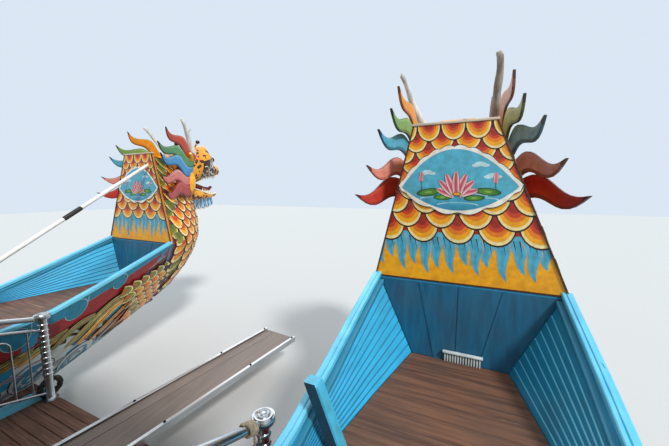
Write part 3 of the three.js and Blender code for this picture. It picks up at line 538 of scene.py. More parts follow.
def lens(factor, lobes=0.0):
    """The medallion's outline; lobes scallop its edge, small above and wide below."""
    half, middle = LENS["half"] * factor, LENS["middle"]
    def edge(x, height, lobe, waves):
        return x, middle + height * factor * (1 - (x / half) ** 2) + lobe * abs(math.sin(x * waves))
    upper = [edge(half * (1 - i / 30), LENS["rise"], lobes, 28) for i in range(61)]
    return upper + [edge(-half * (1 - i / 24), -LENS["fall"], -1.6 * lobes, 14) for i in range(1, 48)]

def oval(x, z, width, height, turn=0.0):
    return rotated([(width * c, height * s) for c, s in circle(20)], turn, x, z)

def medallion(shape, surface):
    """Sky, still water with ripples and leaves, two buds and an open lotus in a white scalloped frame."""
    base, inside = 0.0135, lens(0.965)
    layered(shape, surface, [(lens(1.03, 0.02), INK), (lens(1.02, 0.018), WHITE), (inside, SKY)], base)
    for i in range(5):
        low = 1.5 - i * 0.03
        band = [(-1, 1.2), (1, 1.2), (1, low), (-1, low)]
        shape.patch(surface, clipped(band, inside), blended(SKY, WATER, 0.35 + 0.15 * i),
                    base + 0.0005 + i * 0.0001)
    for x, z, size in ((-0.2, 1.47, 0.12), (0.22, 1.465, 0.11), (0.0, 1.42, 0.17), (0.05, 1.5, 0.2)):
        arc = [(x + size * math.cos(t), z + 0.02 * math.sin(t))
               for t in (math.pi * k / 12 for k in range(13))]
        back = [(x + (p - x) * 0.93, q - 0.005) for p, q in reversed(arc)]
        shape.patch(surface, clipped(arc + back, inside), PALE, base + 0.0012)
    for x, z, width, height, turn in ((-0.24, 1.53, 0.11, 0.035, 0.12), (0.25, 1.535, 0.1, 0.033, -0.1),
                                      (-0.12, 1.485, 0.08, 0.026, 0.0), (0.14, 1.48, 0.085, 0.026, 0.05)):
        rings = [(oval(x, z, width * f, height * f, turn), c)
                 for f, c in ((1.0, INK), (0.93, linear("2f6b2a")), (0.72, linear("4f8f33")),
                              (0.3, linear("86b24a")))]
        layered(shape, surface, rings, base + 0.0016, inside)
    for x, z in ((-0.24, 1.7), (0.2, 1.76), (0.29, 1.66)):
        for dx, dz, size in ((-0.035, 0.0, 0.026), (0.0, 0.012, 0.034), (0.04, 0.0, 0.024)):
            shape.patch(surface, clipped(oval(x + dx, z + dz, size * 1.3, size * 0.6), inside), PALE,
                        base + 0.0014 + dx * 0.01)
    for x, tall in ((-0.3, 0.12), (0.31, 0.1)):
        stem = [(x - 0.004, 1.52), (x + 0.004, 1.52), (x + 0.003, 1.52 + tall), (x - 0.003, 1.52 + tall)]
        shape.patch(surface, clipped(stem, inside), linear("2f6b2a"), base + 0.002)
        rings = [(pointed((x, 1.51 + tall), (x + 0.01, 1.6 + tall), 0.05 * f, 0.0), c)
                 for f, c in ((1.0, INK), (0.86, linear("f3d4cf")), (0.6, linear("d9788a")))]
        layered(shape, surface, rings, base + 0.0022, inside)
    petals = [(a, 0.19 + 0.03 * math.cos(math.radians(a))) for a in (-74, 74, -50, 50, -26, 26, 0)]
    for i, (angle, reach) in enumerate(petals):
        tip = (reach * math.sin(math.radians(angle)) * 0.9, 1.5 + reach * math.cos(math.radians(angle)))
        rings = [(pointed((tip[0] * 0.12, 1.505), tip, 0.078 * f, 0.004), c)
                 for f, c in ((1.0, INK), (0.88, linear("f3d4cf")), (0.62, linear("e79aa0")),
                              (0.3, linear("c9536a")))]
        layered(shape, surface, rings, base + 0.0022 + i * 0.0006, inside)
    layered(shape, surface,
            [(oval(0, 1.515, 0.035 * f, 0.016 * f), c) for f, c in ((1, INK), (0.8, YELLOW))],
            base + 0.0068, inside)

# %% Both boards with their wood caps
RAW_WOOD = finish("raw_wood", "dccbb0", "a08a6c", rough=0.75, grain="x", streak=0.8, bump=0.5)
for side, sign in SIDES.items():
    def surface(u, v, height, side=side):
        return place(side, u, -height, v)
    board = Shape()
    panel = [(-FOOT_HALF, FOOT_Z + 0.001), (FOOT_HALF, FOOT_Z + 0.001), (TOP_HALF, TOP_Z),
             (-TOP_HALF, TOP_Z)]
    board.patch(surface, panel, linear("c98a2a"), 0.0, -0.0298)
    board_scales(board, surface)
    board_tongues(board, surface)
    board_edge(board, surface)
    medallion(board, surface)
    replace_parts(board.piece(f"painted_board_{side}", "boat", ORNAMENT, smooth=20), f"back_board_{side}")
    ends = [place(side, x, 0, TOP_Z + 0.014) for x in (-TOP_HALF - 0.012, TOP_HALF + 0.012)]
    (low_x, y, z), high_x = ends[0], ends[1][0]
    cap = timber((low_x, y - 0.018, z - 0.014), (high_x, y + 0.03, z + 0.008))
    cap.name = f"board_cap_{side}"
    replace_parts(settle(cap, "boat", RAW_WOOD), f"back_board_{side}")
    print(side, "board faces", len(board.faces))

# %% [markdown]
# ## Sawn flames
# The mane is made of flames sawn from thin board, painted on both faces with a dark edge. Each is
# a section that slides along an S-shaped line and narrows to a curled tip.

# %% One flame
def flame(shape, surface, root, tip, width, wave, colours):
    """A sawn flame; surface maps (u, v, height), colours are its painted shade, body colour and painted
    highlight.
    """
    shade, body, light = (linear(c) for c in colours)
    at, steps, thick, curl, eased = spine(root, tip), 18, 0.012, 0.35, 0.003
    rings = []
    for i in range(steps + 1):
        t = i / steps
        half = max(0.002, width / 2 * (0.85 + 0.5 * t) * (1 - t ** 2.8))
        shift = wave * math.sin(2 * math.pi * (t - 0.35) / 0.65) + curl * max(0, t - 0.7) ** 2
        row = [(*at(t, shift + half * o), thick - (eased if abs(o) == 1 else 0))
               for o in (-1, -0.94, -0.6, 0.55, 0.94, 1)]
        rings.append([surface(*p) for p in row] + [surface(u, v, -height) for u, v, height in row[::-1]])
    bands = [INK, shade, body, light, INK, shade, INK, light, body, shade, INK, shade]
    # The shade and light bands along the flame's two edges are painted shade and a painted highlight. Every
    # band also darkens towards the root and the tip as painted shade.
    def paint(t, i):
        if t > 0.94:
            return blended(INK, shade, 0.3)
        if bands[i] is INK:
            return INK
        return blended(blended(bands[i], shade, 0.45 * (1 - t) ** 2), shade, max(0, t - 0.5))
    shape.loft(rings, paint)

# %% [markdown]
# ## The bow wells
# A bright cap with a groove runs along the gunwale, with a darker step inside it. The inner walls
# are narrow lengthwise planks that close in towards the transom. These follow the sheer, so their
# sections are swept from station to station.

# %% Gunwale cap and inner step
CYAN = finish("cap_paint", "6cc4de", "45a6c4", rough=0.35, grain="y", streak=0.5, chips=0.05, bare="3b7f94")
STEP_PAINT = finish("step_paint", "2b7f9b", "1c5d78", rough=0.45, grain="y", chips=0.05, bare="57706f")
CAP_THICK = 0.04

def span(start, end, count, keep):
    """Even places from start to end, together with the stations that lie between them."""
    values = [start + (end - start) * i / count for i in range(count + 1)]
    return sorted(set(round(v, 4) for v in values + [k for k in keep if start < k < end]))

STERN_Y = -7.6
SHEER = span(STERN_Y, 6.3995, 24, STATION_YS)
for side in SIDES:
    cap, step = Shape(), Shape()
    for hand in HANDS:
        rings, ledge = [], []
        for y in SHEER:
            at = hull_at(y)
            outer, inner, low = at["gun_half"] + 0.01, at["gun_half"] - 0.065, at["gun"]
            high = low + CAP_THICK
            groove = inner + 0.03
            profile = [(outer, low), (outer, high - 0.006), (outer - 0.006, high), (groove + 0.005, high),
                       (groove, high - 0.009), (groove - 0.005, high), (inner + 0.006, high),
                       (inner, high - 0.006), (inner, low)]
            rings.append([on_hull(side, hand * x, y, z) for x, z in profile])
        for y in span(3.215, 6.36, 12, STATION_YS):
            at = hull_at(y)
            inner, outer, z = at["gun_half"] - 0.105, at["gun_half"] - 0.058, at["gun"]
            profile = [(outer, z - 0.05), (outer, z - 0.012), (inner + 0.006, z - 0.012),
                       (inner, z - 0.018), (inner, z - 0.05)]
            ledge.append([on_hull(side, hand * x, y, q) for x, q in profile])
        cap.loft(rings)
        step.loft(ledge)
    stern = hull_at(STERN_Y)
    rail = [[on_hull(side, x, STERN_Y + y, stern["gun"] + z)
             for y, z in ((0, 0), (0.12, 0), (0.12, 0.034), (0.114, 0.04), (0.006, 0.04), (0, 0.034))]
            for x in (-stern["gun_half"], stern["gun_half"])]
    cap.loft(rail)
    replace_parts(cap.piece(f"grooved_cap_{side}", "boat", CYAN), f"gunwale_cap_{side}")
    step.piece(f"inner_step_{side}", "boat", STEP_PAINT)
print("cap stations", len(SHEER))

# %% Inner wall planks
def planked(tree, where):
    paint = add_node(tree, "Attribute", attribute_name="paint").outputs["Color"]
    worn = cloud(tree, where, 0.09, 0.45, 0.8, (1, 0.12, 1), 6)
    return mixed(tree, worn, paint, mixed(tree, 1.0, paint, (0.72, 0.78, 0.8, 1), "MULTIPLY"))

PLANK_PAINT = finish("plank_paint", "ffffff", source=planked, rough=0.38, grain="y", streak=0.45, grime=0.3,
                     chips=0.02, bare="6f7f80")
PLANKS = 9
# Both walls share one blue paint. The well's port wall faces the sun and is painted bright; the starboard
# wall is painted dark as painted shade. The plank edge chamfers carry painted shade on the bright wall and
# painted highlights on the dark wall.
WALL_PAINTS_WITH_LIGHT = {-1: ("36aad4", "1a6f92"), 1: ("1f7f9f", "63c4d8")}
TRANSOM = {"foot": 6.3, "rake": 0.09, "top": 1.8036}

def transom_y(z):
    """The raked transom's place at height z."""
    return TRANSOM["foot"] + TRANSOM["rake"] * (z - WELL_BOTTOM) / (TRANSOM["top"] - WELL_BOTTOM)

for side in SIDES:
    for hand in HANDS:
        wall = Shape()
        face_tone_with_light, edge_tone_with_light = (linear(c) for c in WALL_PAINTS_WITH_LIGHT[hand])
        for k in range(PLANKS):
            rings = []
            for y in span(3.21, TRANSOM["foot"], 14, STATION_YS + WELL_YS):
                top = hull_at(y)["gun"] - 0.045
                z0, z1 = (WELL_Z + (top - WELL_Z) * n / PLANKS for n in (k, k + 1))
                section = [(z0 + 0.001, 0.004), (z0 + 0.001, -0.008), (z0 + 0.005, -0.0125),
                           (z1 - 0.006, -0.0125), (z1 - 0.001, -0.008), (z1 - 0.001, 0.004)]
                rings.append([on_hull(side, hand * (wall_at(y, z) + d),
                                      transom_y(z) - 0.014 if y == TRANSOM["foot"] else y, z)
                              for z, d in section])
            wall.loft(rings, lambda t, i: edge_tone_with_light if i in (1, 3) else face_tone_with_light)
        wall.piece(f"well_planks_{side}_{HANDS[hand]}", "boat", PLANK_PAINT, smooth=20)
print("planks a wall", PLANKS)

# %% Transom, slat strip and plywood floor
DEEP_BLUE = finish("transom_paint", "125a78", "0c3d55", rough=0.4, grain="z", streak=0.6, chips=0.02,
                   bare="3c6a78")
SLAT_WHITE = finish("slat_white", "cfd3cf", "8d9490", rough=0.6, grain="z", streak=0.5)
PLYWOOD = finish("worn_plywood", "76503a", "4a2f22", rough=0.6, grain="x", streak=0.9, grime=0.55,
                 chips=0.06, bare="a3836a", bump=0.5, fine=0.012)
for side in SIDES:
    panel = Shape()
    edges = [(0.398, 1.151), (0.745, TRANSOM["top"] + 0.02)]
    panel.loft([[on_hull(side, x, transom_y(z) - d, z)
                 for x, d in ((-half, 0.004), (half, 0.004), (half, 0.012), (-half, 0.012))]
                for half, z in edges])
    for x in (-0.27, 0.0, 0.27):
        panel.loft([[on_hull(side, x * half / 0.57 + dx, transom_y(z) - d, z)
                     for dx, d in ((-0.02, 0.01), (0.02, 0.01), (0.016, 0.02), (-0.016, 0.02))]
                    for half, z in edges])
    panel.piece(f"transom_panel_{side}", "boat", DEEP_BLUE)
    slats = []
    for k in range(14):
        low = on_hull(side, -0.11 + k * 0.022, 6.262, 1.152)
        slats.append(timber(low, (low[0] + 0.013, low[1] + 0.02, low[2] + 0.085), 0.003))
    low = on_hull(side, -0.125, 6.25, 1.234)
    slats.append(timber(low, (low[0] + 0.33, low[1] + 0.04, low[2] + 0.014), 0.003))
    settle(joined(f"slat_strip_{side}", slats), "boat", SLAT_WHITE)
    sheets = Shape()
    for start, end in ((3.205, 4.898), (4.902, 6.285)):
        rings = []
        for y in span(start, end, 6, WELL_YS):
            half = wall_at(y, WELL_Z) - 0.014
            section = [(-half, 1.1332), (half, 1.1332), (half, 1.148), (half - 0.002, 1.15),
                       (-half + 0.002, 1.15), (-half, 1.148)]
            rings.append([on_hull(side, x, y, z) for x, z in section])
        sheets.loft(rings)
    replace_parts(sheets.piece(f"plywood_floor_{side}", "boat", PLYWOOD), f"well_floor_{side}")
print("wells dressed")

# %% [markdown]
# ## Painted hull sides
# Under the cap each side has a teal band that ends in long rounded tongues, a maroon band, then
# scales and feathers at the bow and curled waves near the keel. Every corner of the paint is
# dropped onto the CAD hull by a ray, so that it follows the planking exactly.

# %% The hull's side as a surface: y along it, distance down from the gunwale
def tree_of(node):
    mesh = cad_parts[node].data
    return BVHTree.FromPolygons([v.co for v in mesh.vertices], [p.vertices for p in mesh.polygons])

def girth(y):
    """The half section's corners from the gunwale to the keel, with the lengths between them."""
    at = hull_at(y)
    corners = [(at["gun_half"], at["gun"]), (at["side_half"], at["side"]), (at["bilge_half"], at["bilge"]),
               (0, at["keel"])]
    return corners, [math.dist(a, b) for a, b in zip(corners, corners[1:])]

def down_side(y, distance):
    """The section's point at a distance below the gunwale, and its outward direction."""
    corners, lengths = girth(y)
    for (a, b), length in zip(zip(corners, corners[1:]), lengths):
        if distance <= length or b == corners[-1]:
            part = min(1.0, distance / length)
            x, z = a[0] + (b[0] - a[0]) * part, a[1] + (b[1] - a[1]) * part
            return x, z, Vector(((a[1] - b[1]) / length, 0, -(a[0] - b[0]) / length))
        distance -= length

HULL_TREES = {side: tree_of(f"hull_{side}") for side in SIDES}

def side_surface(side, hand):
    tree = HULL_TREES[side]
    def surface(y, distance, height):
        x, z, out = down_side(y, max(0.0, distance))
        out = Vector((hand * out.x, 0, out.z))
        point = Vector(on_hull(side, hand * x, y, z))
        hit = tree.ray_cast(point + out * 0.25, -out, 0.5)[0] or point
        return hit + out * height
    return surface

CELL = 0.16

def ribbon(shape, surface, stations, upper, lower, colour, height):
    """A band of paint between two lines along the side, cut into cells that follow the curve."""
    for a, b in zip(stations, stations[1:]):
        tall = max(lower(a) - upper(a), lower(b) - upper(b))
        if tall <= 0.002:
            continue
        rows = max(1, math.ceil(tall / CELL))
        for k in range(rows):
            edge = [[(y, upper(y) + max(0.0, lower(y) - upper(y)) * n / rows) for n in (k, k + 1)]
                    for y in (a, b)]
            shape.patch(surface, [edge[0][0], edge[1][0], edge[1][1], edge[0][1]], colour, height)

# %% Bands, tongues, feathers and curled waves
MAROON, OLIVE, BROWN = linear("981b20"), linear("6f7420"), linear("4a2116")
TEAL_BAND, CLOUD, SLATE = linear("1f7f9c"), linear("c9d2cf"), linear("3c7fa3")

def table(*rows):
    """A value that changes along the hull, from (y, value) rows."""
    return lambda y: between(rows, y)[0]

maroon_base = table((-7.6, 0.3), (4.82, 0.32), (5.14, 0.34), (5.6, 0.29), (6.1, 0.27), (6.38, 0.2))
wave_start = table((-7.6, 0.44), (4.6, 0.45), (4.82, 0.48), (5.12, 0.62), (5.36, 0.95), (5.74, 1.46),
                   (6.4, 1.7))
zero = table((-8, 0.0), (8, 0.0))

def maroon_end(y):
    """The maroon band's lower edge, which waves a little."""
    return maroon_base(y) + 0.018 * math.sin(11 * y)

def keel_end(y):
    return sum(girth(y)[1]) - 0.004

def keel_line(y):
    return keel_end(y) - 0.05

def rounded_tongue(start, length, drop, rim):
    """A long lobe under the cap with a straight back and a round head at its front."""
    middle, radius = start + length - drop / 2, drop / 2 - rim
    arc = [(middle - radius * math.cos(t), drop / 2 + radius * math.sin(t))
           for t in (0.1 + (1.5 * math.pi - 0.1) * k / 14 for k in range(15))]
    return [(start + rim, 0.0), (start + rim, drop * 0.55 - rim)] + arc

def feather(shape, surface, root, tip, width, colours, height, bend):
    body, light = colours
    rings = [(pointed(root, tip, width * f, bend), c) for f, c in
             ((1.0, INK), (0.88, light), (0.72, body), (0.26, light), (0.12, MAROON))]
    layered(shape, surface, rings, height, step=0.0005)

def scroll(shape, surface, y, distance, size, height):
    """A rolled wave: a pale disc with a dark edge and a blue spiral on it."""
    rings = [(oval(y, distance, size * f, size * f * 0.86, 0.3), c) for f, c in ((1.0, INK), (0.95, CLOUD))]
    layered(shape, surface, rings, height, step=0.0006)
    steps = 34
    def at(k, shift):
        turn, radius = 0.6 + 4.4 * math.pi * k / steps, size * (0.82 - 0.72 * k / steps) + shift
        return y + radius * math.cos(turn), distance + radius * 0.86 * math.sin(turn)
    for k in range(steps):
        half = size * 0.075 * (1.25 - k / steps)
        shape.patch(surface, [at(k, -half), at(k, half), at(k + 1, half), at(k + 1, -half)], SLATE,
                    height + 0.0014, height)

LEAVES = [
    # root y and distance, tip y and distance, width, body and light
    ((6.34, 1.24), (5.74, 1.32), 0.1, ("c9641c", "edb45a")),
    ((6.3, 1.1), (5.6, 1.2), 0.12, ("8a2f1c", "d98a3c")),
    ((6.25, 0.95), (5.5, 1.06), 0.13, ("d9821f", "f2c060")),
    ((6.15, 0.78), (5.4, 0.92), 0.14, ("a5481c", "e6a04a")),
    ((6.0, 0.6), (5.28, 0.79), 0.15, ("dd8f22", "f2cd6e")),
    ((5.75, 0.46), (5.08, 0.65), 0.16, ("e0a02c", "f4d680")),
    ((5.72, 0.37), (4.96, 0.55), 0.15, ("6f7420", "c3c27c")),
    ((5.3, 0.38), (4.76, 0.45), 0.11, ("5b6626", "b5b878")),
]
OLIVE_SCALE, SCALE_LINE = linear("7d8428"), linear("9fc4c9")

def side_scale(shape, surface, y, distance, size, body, height):
    """A scale that points aft and a little down, as on a fish."""
    turn, rings = math.radians(205) - 1.57, []
    for f, c in ((1.0, INK), (0.92, RIM), (0.78, body), (0.45, blended(body, FLAME_RED, 0.6))):
        rings.append((rotated(hanging(0, 0, size, size * 1.2, f), turn, y, distance), c))
    layered(shape, surface, rings, height, step=0.0005)

def painted_side(side, hand):
    shape, surface = Shape(), side_surface(side, hand)
    along = span(-7.58, 6.385, 60, STATION_YS)
    ribbon(shape, surface, along, lambda y: maroon_end(y) - 0.05, keel_line, CLOUD, 0.0022)
    ribbon(shape, surface, along, lambda y: maroon_end(y) - 0.04,
           lambda y: min(wave_start(y) - 0.02, keel_line(y)), BROWN, 0.003)
    ribbon(shape, surface, along, zero, maroon_end, MAROON, 0.0036)
    ribbon(shape, surface, along, keel_line, keel_end, linear("4fb2cc"), 0.0094)
    ribbon(shape, surface, along, zero, table((-7.6, 0.1), (5.7, 0.1), (6.38, 0.06)), TEAL_BAND, 0.0046)
    front = 5.7
    while front > -7.2:
        drop, length = (0.2, 0.5) if front > 5.5 else (0.25, 0.56)
        cells = [(rounded_tongue(front - length, length, drop, rim), c)
                 for rim, c in ((0.0, SCALE_LINE), (0.008, TEAL_BAND))]
        layered(shape, surface, cells, 0.0052, step=0.0008)
        front -= length
    y = 4.7
    while y > -7.1:
        for offset, colours in ((0.4, (linear("dd8f22"), linear("f2cd6e"))),
                                (0.36, (OLIVE, linear("c3c27c")))):
            feather(shape, surface, (y + 0.3, offset), (y - 0.2, offset + 0.06), 0.09, colours,
                    0.0056 + 0.5 * (0.4 - offset) * 0.1, 0.02)
        y -= 0.34
    for k in range(26):
        y = 5.18 - 0.5 * k
        for drop, size in ((0.28, 0.23), (0.78, 0.19)):
            low = wave_start(y) + drop
            if y - 0.3 < -7.5 or low + size > keel_line(y):
                continue
            for lift, reach in ((0.1, 0.2), (0.7, -0.05)):
                feather(shape, surface, (y - size * 0.4, low - size * 0.4 + size * lift),
                        (y - size * 2.1, low + size * lift - reach),
                        0.085, (SLATE, CLOUD), 0.0052, 0.05)
            scroll(shape, surface, y, low, size, 0.0066)
    for number, (root, tip, width, colours) in enumerate(LEAVES):
        feather(shape, surface, root, tip, width, [linear(c) for c in colours], 0.007 + 0.0022 * number,
                0.045)
    for row in range(8):
        for k in range(6):
            y, distance = 6.33 - 0.14 * k + (0.07 if row % 2 else 0), 0.36 + 0.15 * row - 0.015 * k
            if y > 6.37 or y < 5.62 + 0.035 * row or distance + 0.07 > keel_line(y):
                continue
            body = OLIVE_SCALE if row == 0 or k == 5 - row // 2 else blended(YELLOW, ORANGE, chance.random())
            side_scale(shape, surface, y, distance, 0.165, body, 0.024 + 0.002 * k)
    return shape

for side in SIDES:
    for hand in HANDS:
        painted_side(side, hand).piece(f"painted_side_{side}_{HANDS[hand]}", "boat", ORNAMENT, smooth=15)
print("painted sides", 4)

# %% [markdown]
# ## Scaled necks
# The neck is a wedge from the board to the stem, covered in carved scales. Each hangs over the one
# below, so a scale is a nested plate that stands off further at its lower edge.

# %% The neck's surface and its scales
NECK_LEVELS = [(-0.42, 0.014, 0.012), (-0.165, 0.298, 0.44), (0.182, 0.56, 0.77), (0.43, 0.682, 0.93),
               (0.69, 0.81, 1.02), (1.0, None, 1.04), (1.3, None, 0.96), (1.6, None, 0.76),
               (1.85, None, 0.6), (2.08, None, 0.46)]
NECK_OUTLINE = [(1, 0), (0.93, 0.28), (0.74, 0.58), (0.42, 0.86), (0, 1)]
NECK_BACK = 0.0303

def neck_size(z):
    return between([(level, half or board_half(level), depth) for level, half, depth in NECK_LEVELS], z)

def neck_surface(side, hand):
    def surface(along, z, height):
        """along runs in metres from the stem back to the board."""
        half, depth = neck_size(z)
        corners = [(x * half, y * depth) for x, y in NECK_OUTLINE][::-1]
        left = max(0.0, along)
        for a, b in zip(corners, corners[1:]):
            length = math.dist(a, b)
            if left <= length or b == corners[-1]:
                part = min(1.0, left / length)
                x, y = a[0] + (b[0] - a[0]) * part, a[1] + (b[1] - a[1]) * part
                out = Vector((x / half, y / depth * 0.8 + 0.1, 0)).normalized()
                break
            left -= length
        return Vector(place(side, hand * (x + out.x * height), NECK_BACK + y + out.y * height, z))
    return surface

def neck_girth(z):
    """The way round one side of the neck, from the stem to the board."""
    half, depth = neck_size(z)
    corners = [(x * half, y * depth) for x, y in NECK_OUTLINE]
    return sum(math.dist(a, b) for a, b in zip(corners, corners[1:]))

NECK_ROWS = scale_rows(2.06, -0.36, 0.105, 1.03)

def neck_scales(side, hand):
    shape, surface = Shape(), neck_surface(side, hand)
    for number, (top, pitch) in reversed(list(enumerate(NECK_ROWS))):
        width, drop, total = pitch * 1.7, pitch * 1.75, neck_girth(top - pitch)
        count = int(total / width) + 1
        for k in range(count):
            along = (k + (0.5 if number % 2 else 0.0)) * width + 0.03
            if along > total - 0.04:
                continue
            near_board = along > total - 0.17
            body = linear("8f8a2a") if near_board else blended(YELLOW, ORANGE, chance.random())
            heart = linear("5c6a22") if near_board else FLAME_RED
            lift = 0.024 * min(1.0, max(0.0, total - along - 0.06) / 0.3)
            def tilted(u, v, height, top=top, drop=drop, lift=lift):
                return surface(min(u, total - 0.006), v, height + lift * max(0.0, top - v) / drop)
            rings = [(hanging(along, top, width * 1.02, drop, f), c) for f, c in
                     ((1.0, INK), (0.92, RIM), (0.76, body), (0.5, blended(body, heart, 0.6)),
                      (0.34, heart))]
            layered(shape, tilted, rings, 0.005, step=0.0015)
    return shape

NECK_WOOD = finish("neck_ground", "7c2a1a", "4a1a12", rough=0.5, streak=0.6, bump=0.4)
for side in SIDES:
    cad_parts[f"neck_{side}"].data.materials.clear()
    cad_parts[f"neck_{side}"].data.materials.append(NECK_WOOD)
    for hand in HANDS:
        neck_scales(side, hand).piece(f"neck_scales_{side}_{HANDS[hand]}", "boat", ORNAMENT, smooth=20)
print("neck rows", len(NECK_ROWS))

# %% [markdown]
# ## Dragon heads
# Each head is carved from blocks: brow, snout and jaw are rounded sections that swell and pinch
# along its length, painted yellow with dark spots. Teeth, eyes, cheek discs, ears, the mane's five
# flames and the beard are added as separate carvings.

# %% Finishes of the head
def spotted(tree, where):
    """Yellow-orange with ragged dark spots, each with a hollow middle."""
    wobble = add_node(tree, "TexNoise", {"Vector": where, "Scale": 9.0})
    moved = mixed(tree, 0.12, where, wobble.outputs["Color"], "ADD")
    cells = add_node(tree, "TexVoronoi", {"Vector": moved, "Scale": 11.0})
    ring = add_node(tree, "ValToRGB", {"Fac": cells.outputs["Distance"]})
    ramp = ring.color_ramp
    for position, shade in ((0.16, 0.1), (0.2, 0.0), (0.36, 0.0), (0.42, 1.0)):
        stop = ramp.elements.new(position)
        stop.color = (shade,) * 3 + (1,)
    ramp.elements[0].color = (0.3, 0.3, 0.3, 1)
    body = mixed(tree, cloud(tree, where, 0.3, 0.35, 0.7), linear("eda81c"), linear("d9701a"))
    painted = mixed(tree, ring.outputs["Color"], linear("20120c"), body)
    mask = add_node(tree, "Attribute", attribute_name="paint").outputs["Color"]
    return mixed(tree, 1.0, painted, mask, "MULTIPLY")

SPOTTED = finish("spotted_paint", "ffffff", source=spotted, rough=0.4, streak=0.4, grime=0.15)
IVORY = finish("tooth_white", "efe8d2", "b9ae8c", rough=0.35, streak=0.4)
EYE_BLACK = finish("eye_black", "0d0b0a", "2a211b", rough=0.15, streak=0.2)
MOUTH = finish("mouth_red", "8f1f1c", "4d0f10", rough=0.4)
CHEEK = finish("cheek_yellow", "f2b022", "dd861c", rough=0.35, streak=0.5, grime=0.15)
EYE_RED = finish("eye_red", "5d1214", "3a0a0b", rough=0.3, streak=0.3)

# %% Head and jaw forms
HEAD = [(0.5203, 0.33, 1.62, 2.03), (0.76, 0.4, 1.62, 2.23), (1.0, 0.41, 1.7, 2.37),
        (1.18, 0.36, 1.78, 2.35), (1.3, 0.29, 1.81, 2.18), (1.44, 0.24, 1.83, 2.06),
        (1.55, 0.2, 1.85, 2.03), (1.6, 0.12, 1.89, 1.99)]
JAW = [(0.5203, 0.3, 1.31, 1.6197), (0.8, 0.3, 1.33, 1.6197), (1.0, 0.27, 1.35, 1.59),
       (1.2, 0.23, 1.365, 1.52), (1.4, 0.19, 1.39, 1.48), (1.57, 0.11, 1.44, 1.5)]

def smooth_rows(rows, steps):
    """More stations on a smooth line through the given ones."""
    out = []
    for i in range(len(rows) - 1):
        around = [rows[max(0, i - 1)], rows[i], rows[i + 1], rows[min(len(rows) - 1, i + 2)]]
        for s in range(steps):
            t = s / steps
            weights = (-t + 2 * t * t - t ** 3, 2 - 5 * t * t + 3 * t ** 3, t + 4 * t * t - 3 * t ** 3,
                       t ** 3 - t * t)
            out.append(tuple(sum(w * row[k] for w, row in zip(weights, around)) / 2
                             for k in range(len(rows[0]))))
    return out + [rows[-1]]

def bump_at(y, turn, lumps):
    """How far the swellings and hollows move the surface at y and a turn from level."""
    return sum(size * math.exp(-((y - y0) / wide) ** 2 - ((turn - t0) / spread) ** 2)
               for y0, t0, size, wide, spread in lumps)

# lumps: y, turn from starboard level, rise, length, spread
HEAD_LUMPS = [(1.16, 1.15, 0.05, 0.09, 0.35), (1.5, 0.9, 0.035, 0.06, 0.4), (1.2, 0.2, 0.03, 0.08, 0.3),
              (1.35, -0.75, 0.025, 0.25, 0.25), (1.0, 0.1, 0.04, 0.12, 0.4), (0.8, 0.9, 0.03, 0.1, 0.3),
              (1.33, 0.5, -0.02, 0.06, 0.35)]
JAW_LUMPS = [(1.3, 0.7, 0.02, 0.25, 0.25), (1.0, -0.4, 0.02, 0.12, 0.4), (1.5, -0.3, 0.015, 0.06, 0.4)]

SQUARENESS = 0.75

def carved(side, rows, lumps):
    """Rounded blocks from station to station, with swellings and hollows carved in."""
    shape, rings, stations = Shape(), [], smooth_rows(rows, 4)
    for y, half, bottom, top in stations:
        middle, rise, ring = (top + bottom) / 2, (top - bottom) / 2, []
        for c, s in circle(28, 0.5):
            x = half * math.copysign(abs(c) ** SQUARENESS, c)
            z = middle + rise * math.copysign(abs(s) ** SQUARENESS, s)
            lift = bump_at(y, math.atan2(s, abs(c)), lumps)
            ring.append(place(side, x + c * lift, y, z + s * lift))
        rings.append(ring)
    last = len(stations) - 1
    def mask(t, i):
        """Black over the muzzle's sides, where the line work is; the spots show elsewhere."""
        y, turn = stations[min(last, round(t * last))][0], 2 * math.pi * (i + 1) / 28
        level = math.atan2(math.sin(turn), abs(math.cos(turn)))
        dark = 1.16 < y < 1.41 and -0.95 < level < 0.75 or 0.93 < y <= 1.16 and -0.95 < level < 0.1
        return (0.04, 0.035, 0.03, 1) if rows is HEAD and dark else (1, 1, 1, 1)
    shape.loft(rings, mask)
    return shape

def skin(side, hand, rows, y, z, lift=0.004):
    """A point on a carved form's side at y and z, a little proud of it."""
    half, bottom, top = between(rows, y)
    s = max(-0.97, min(0.97, (z - (top + bottom) / 2) / ((top - bottom) / 2)))
    s = math.copysign(abs(s) ** (1 / SQUARENESS), s)
    c = math.sqrt(1 - s * s)
    grow = bump_at(y, math.asin(s), HEAD_LUMPS if rows is HEAD else JAW_LUMPS) + lift
    return place(side, hand * (half * c ** SQUARENESS + c * grow), y, z + s * grow)

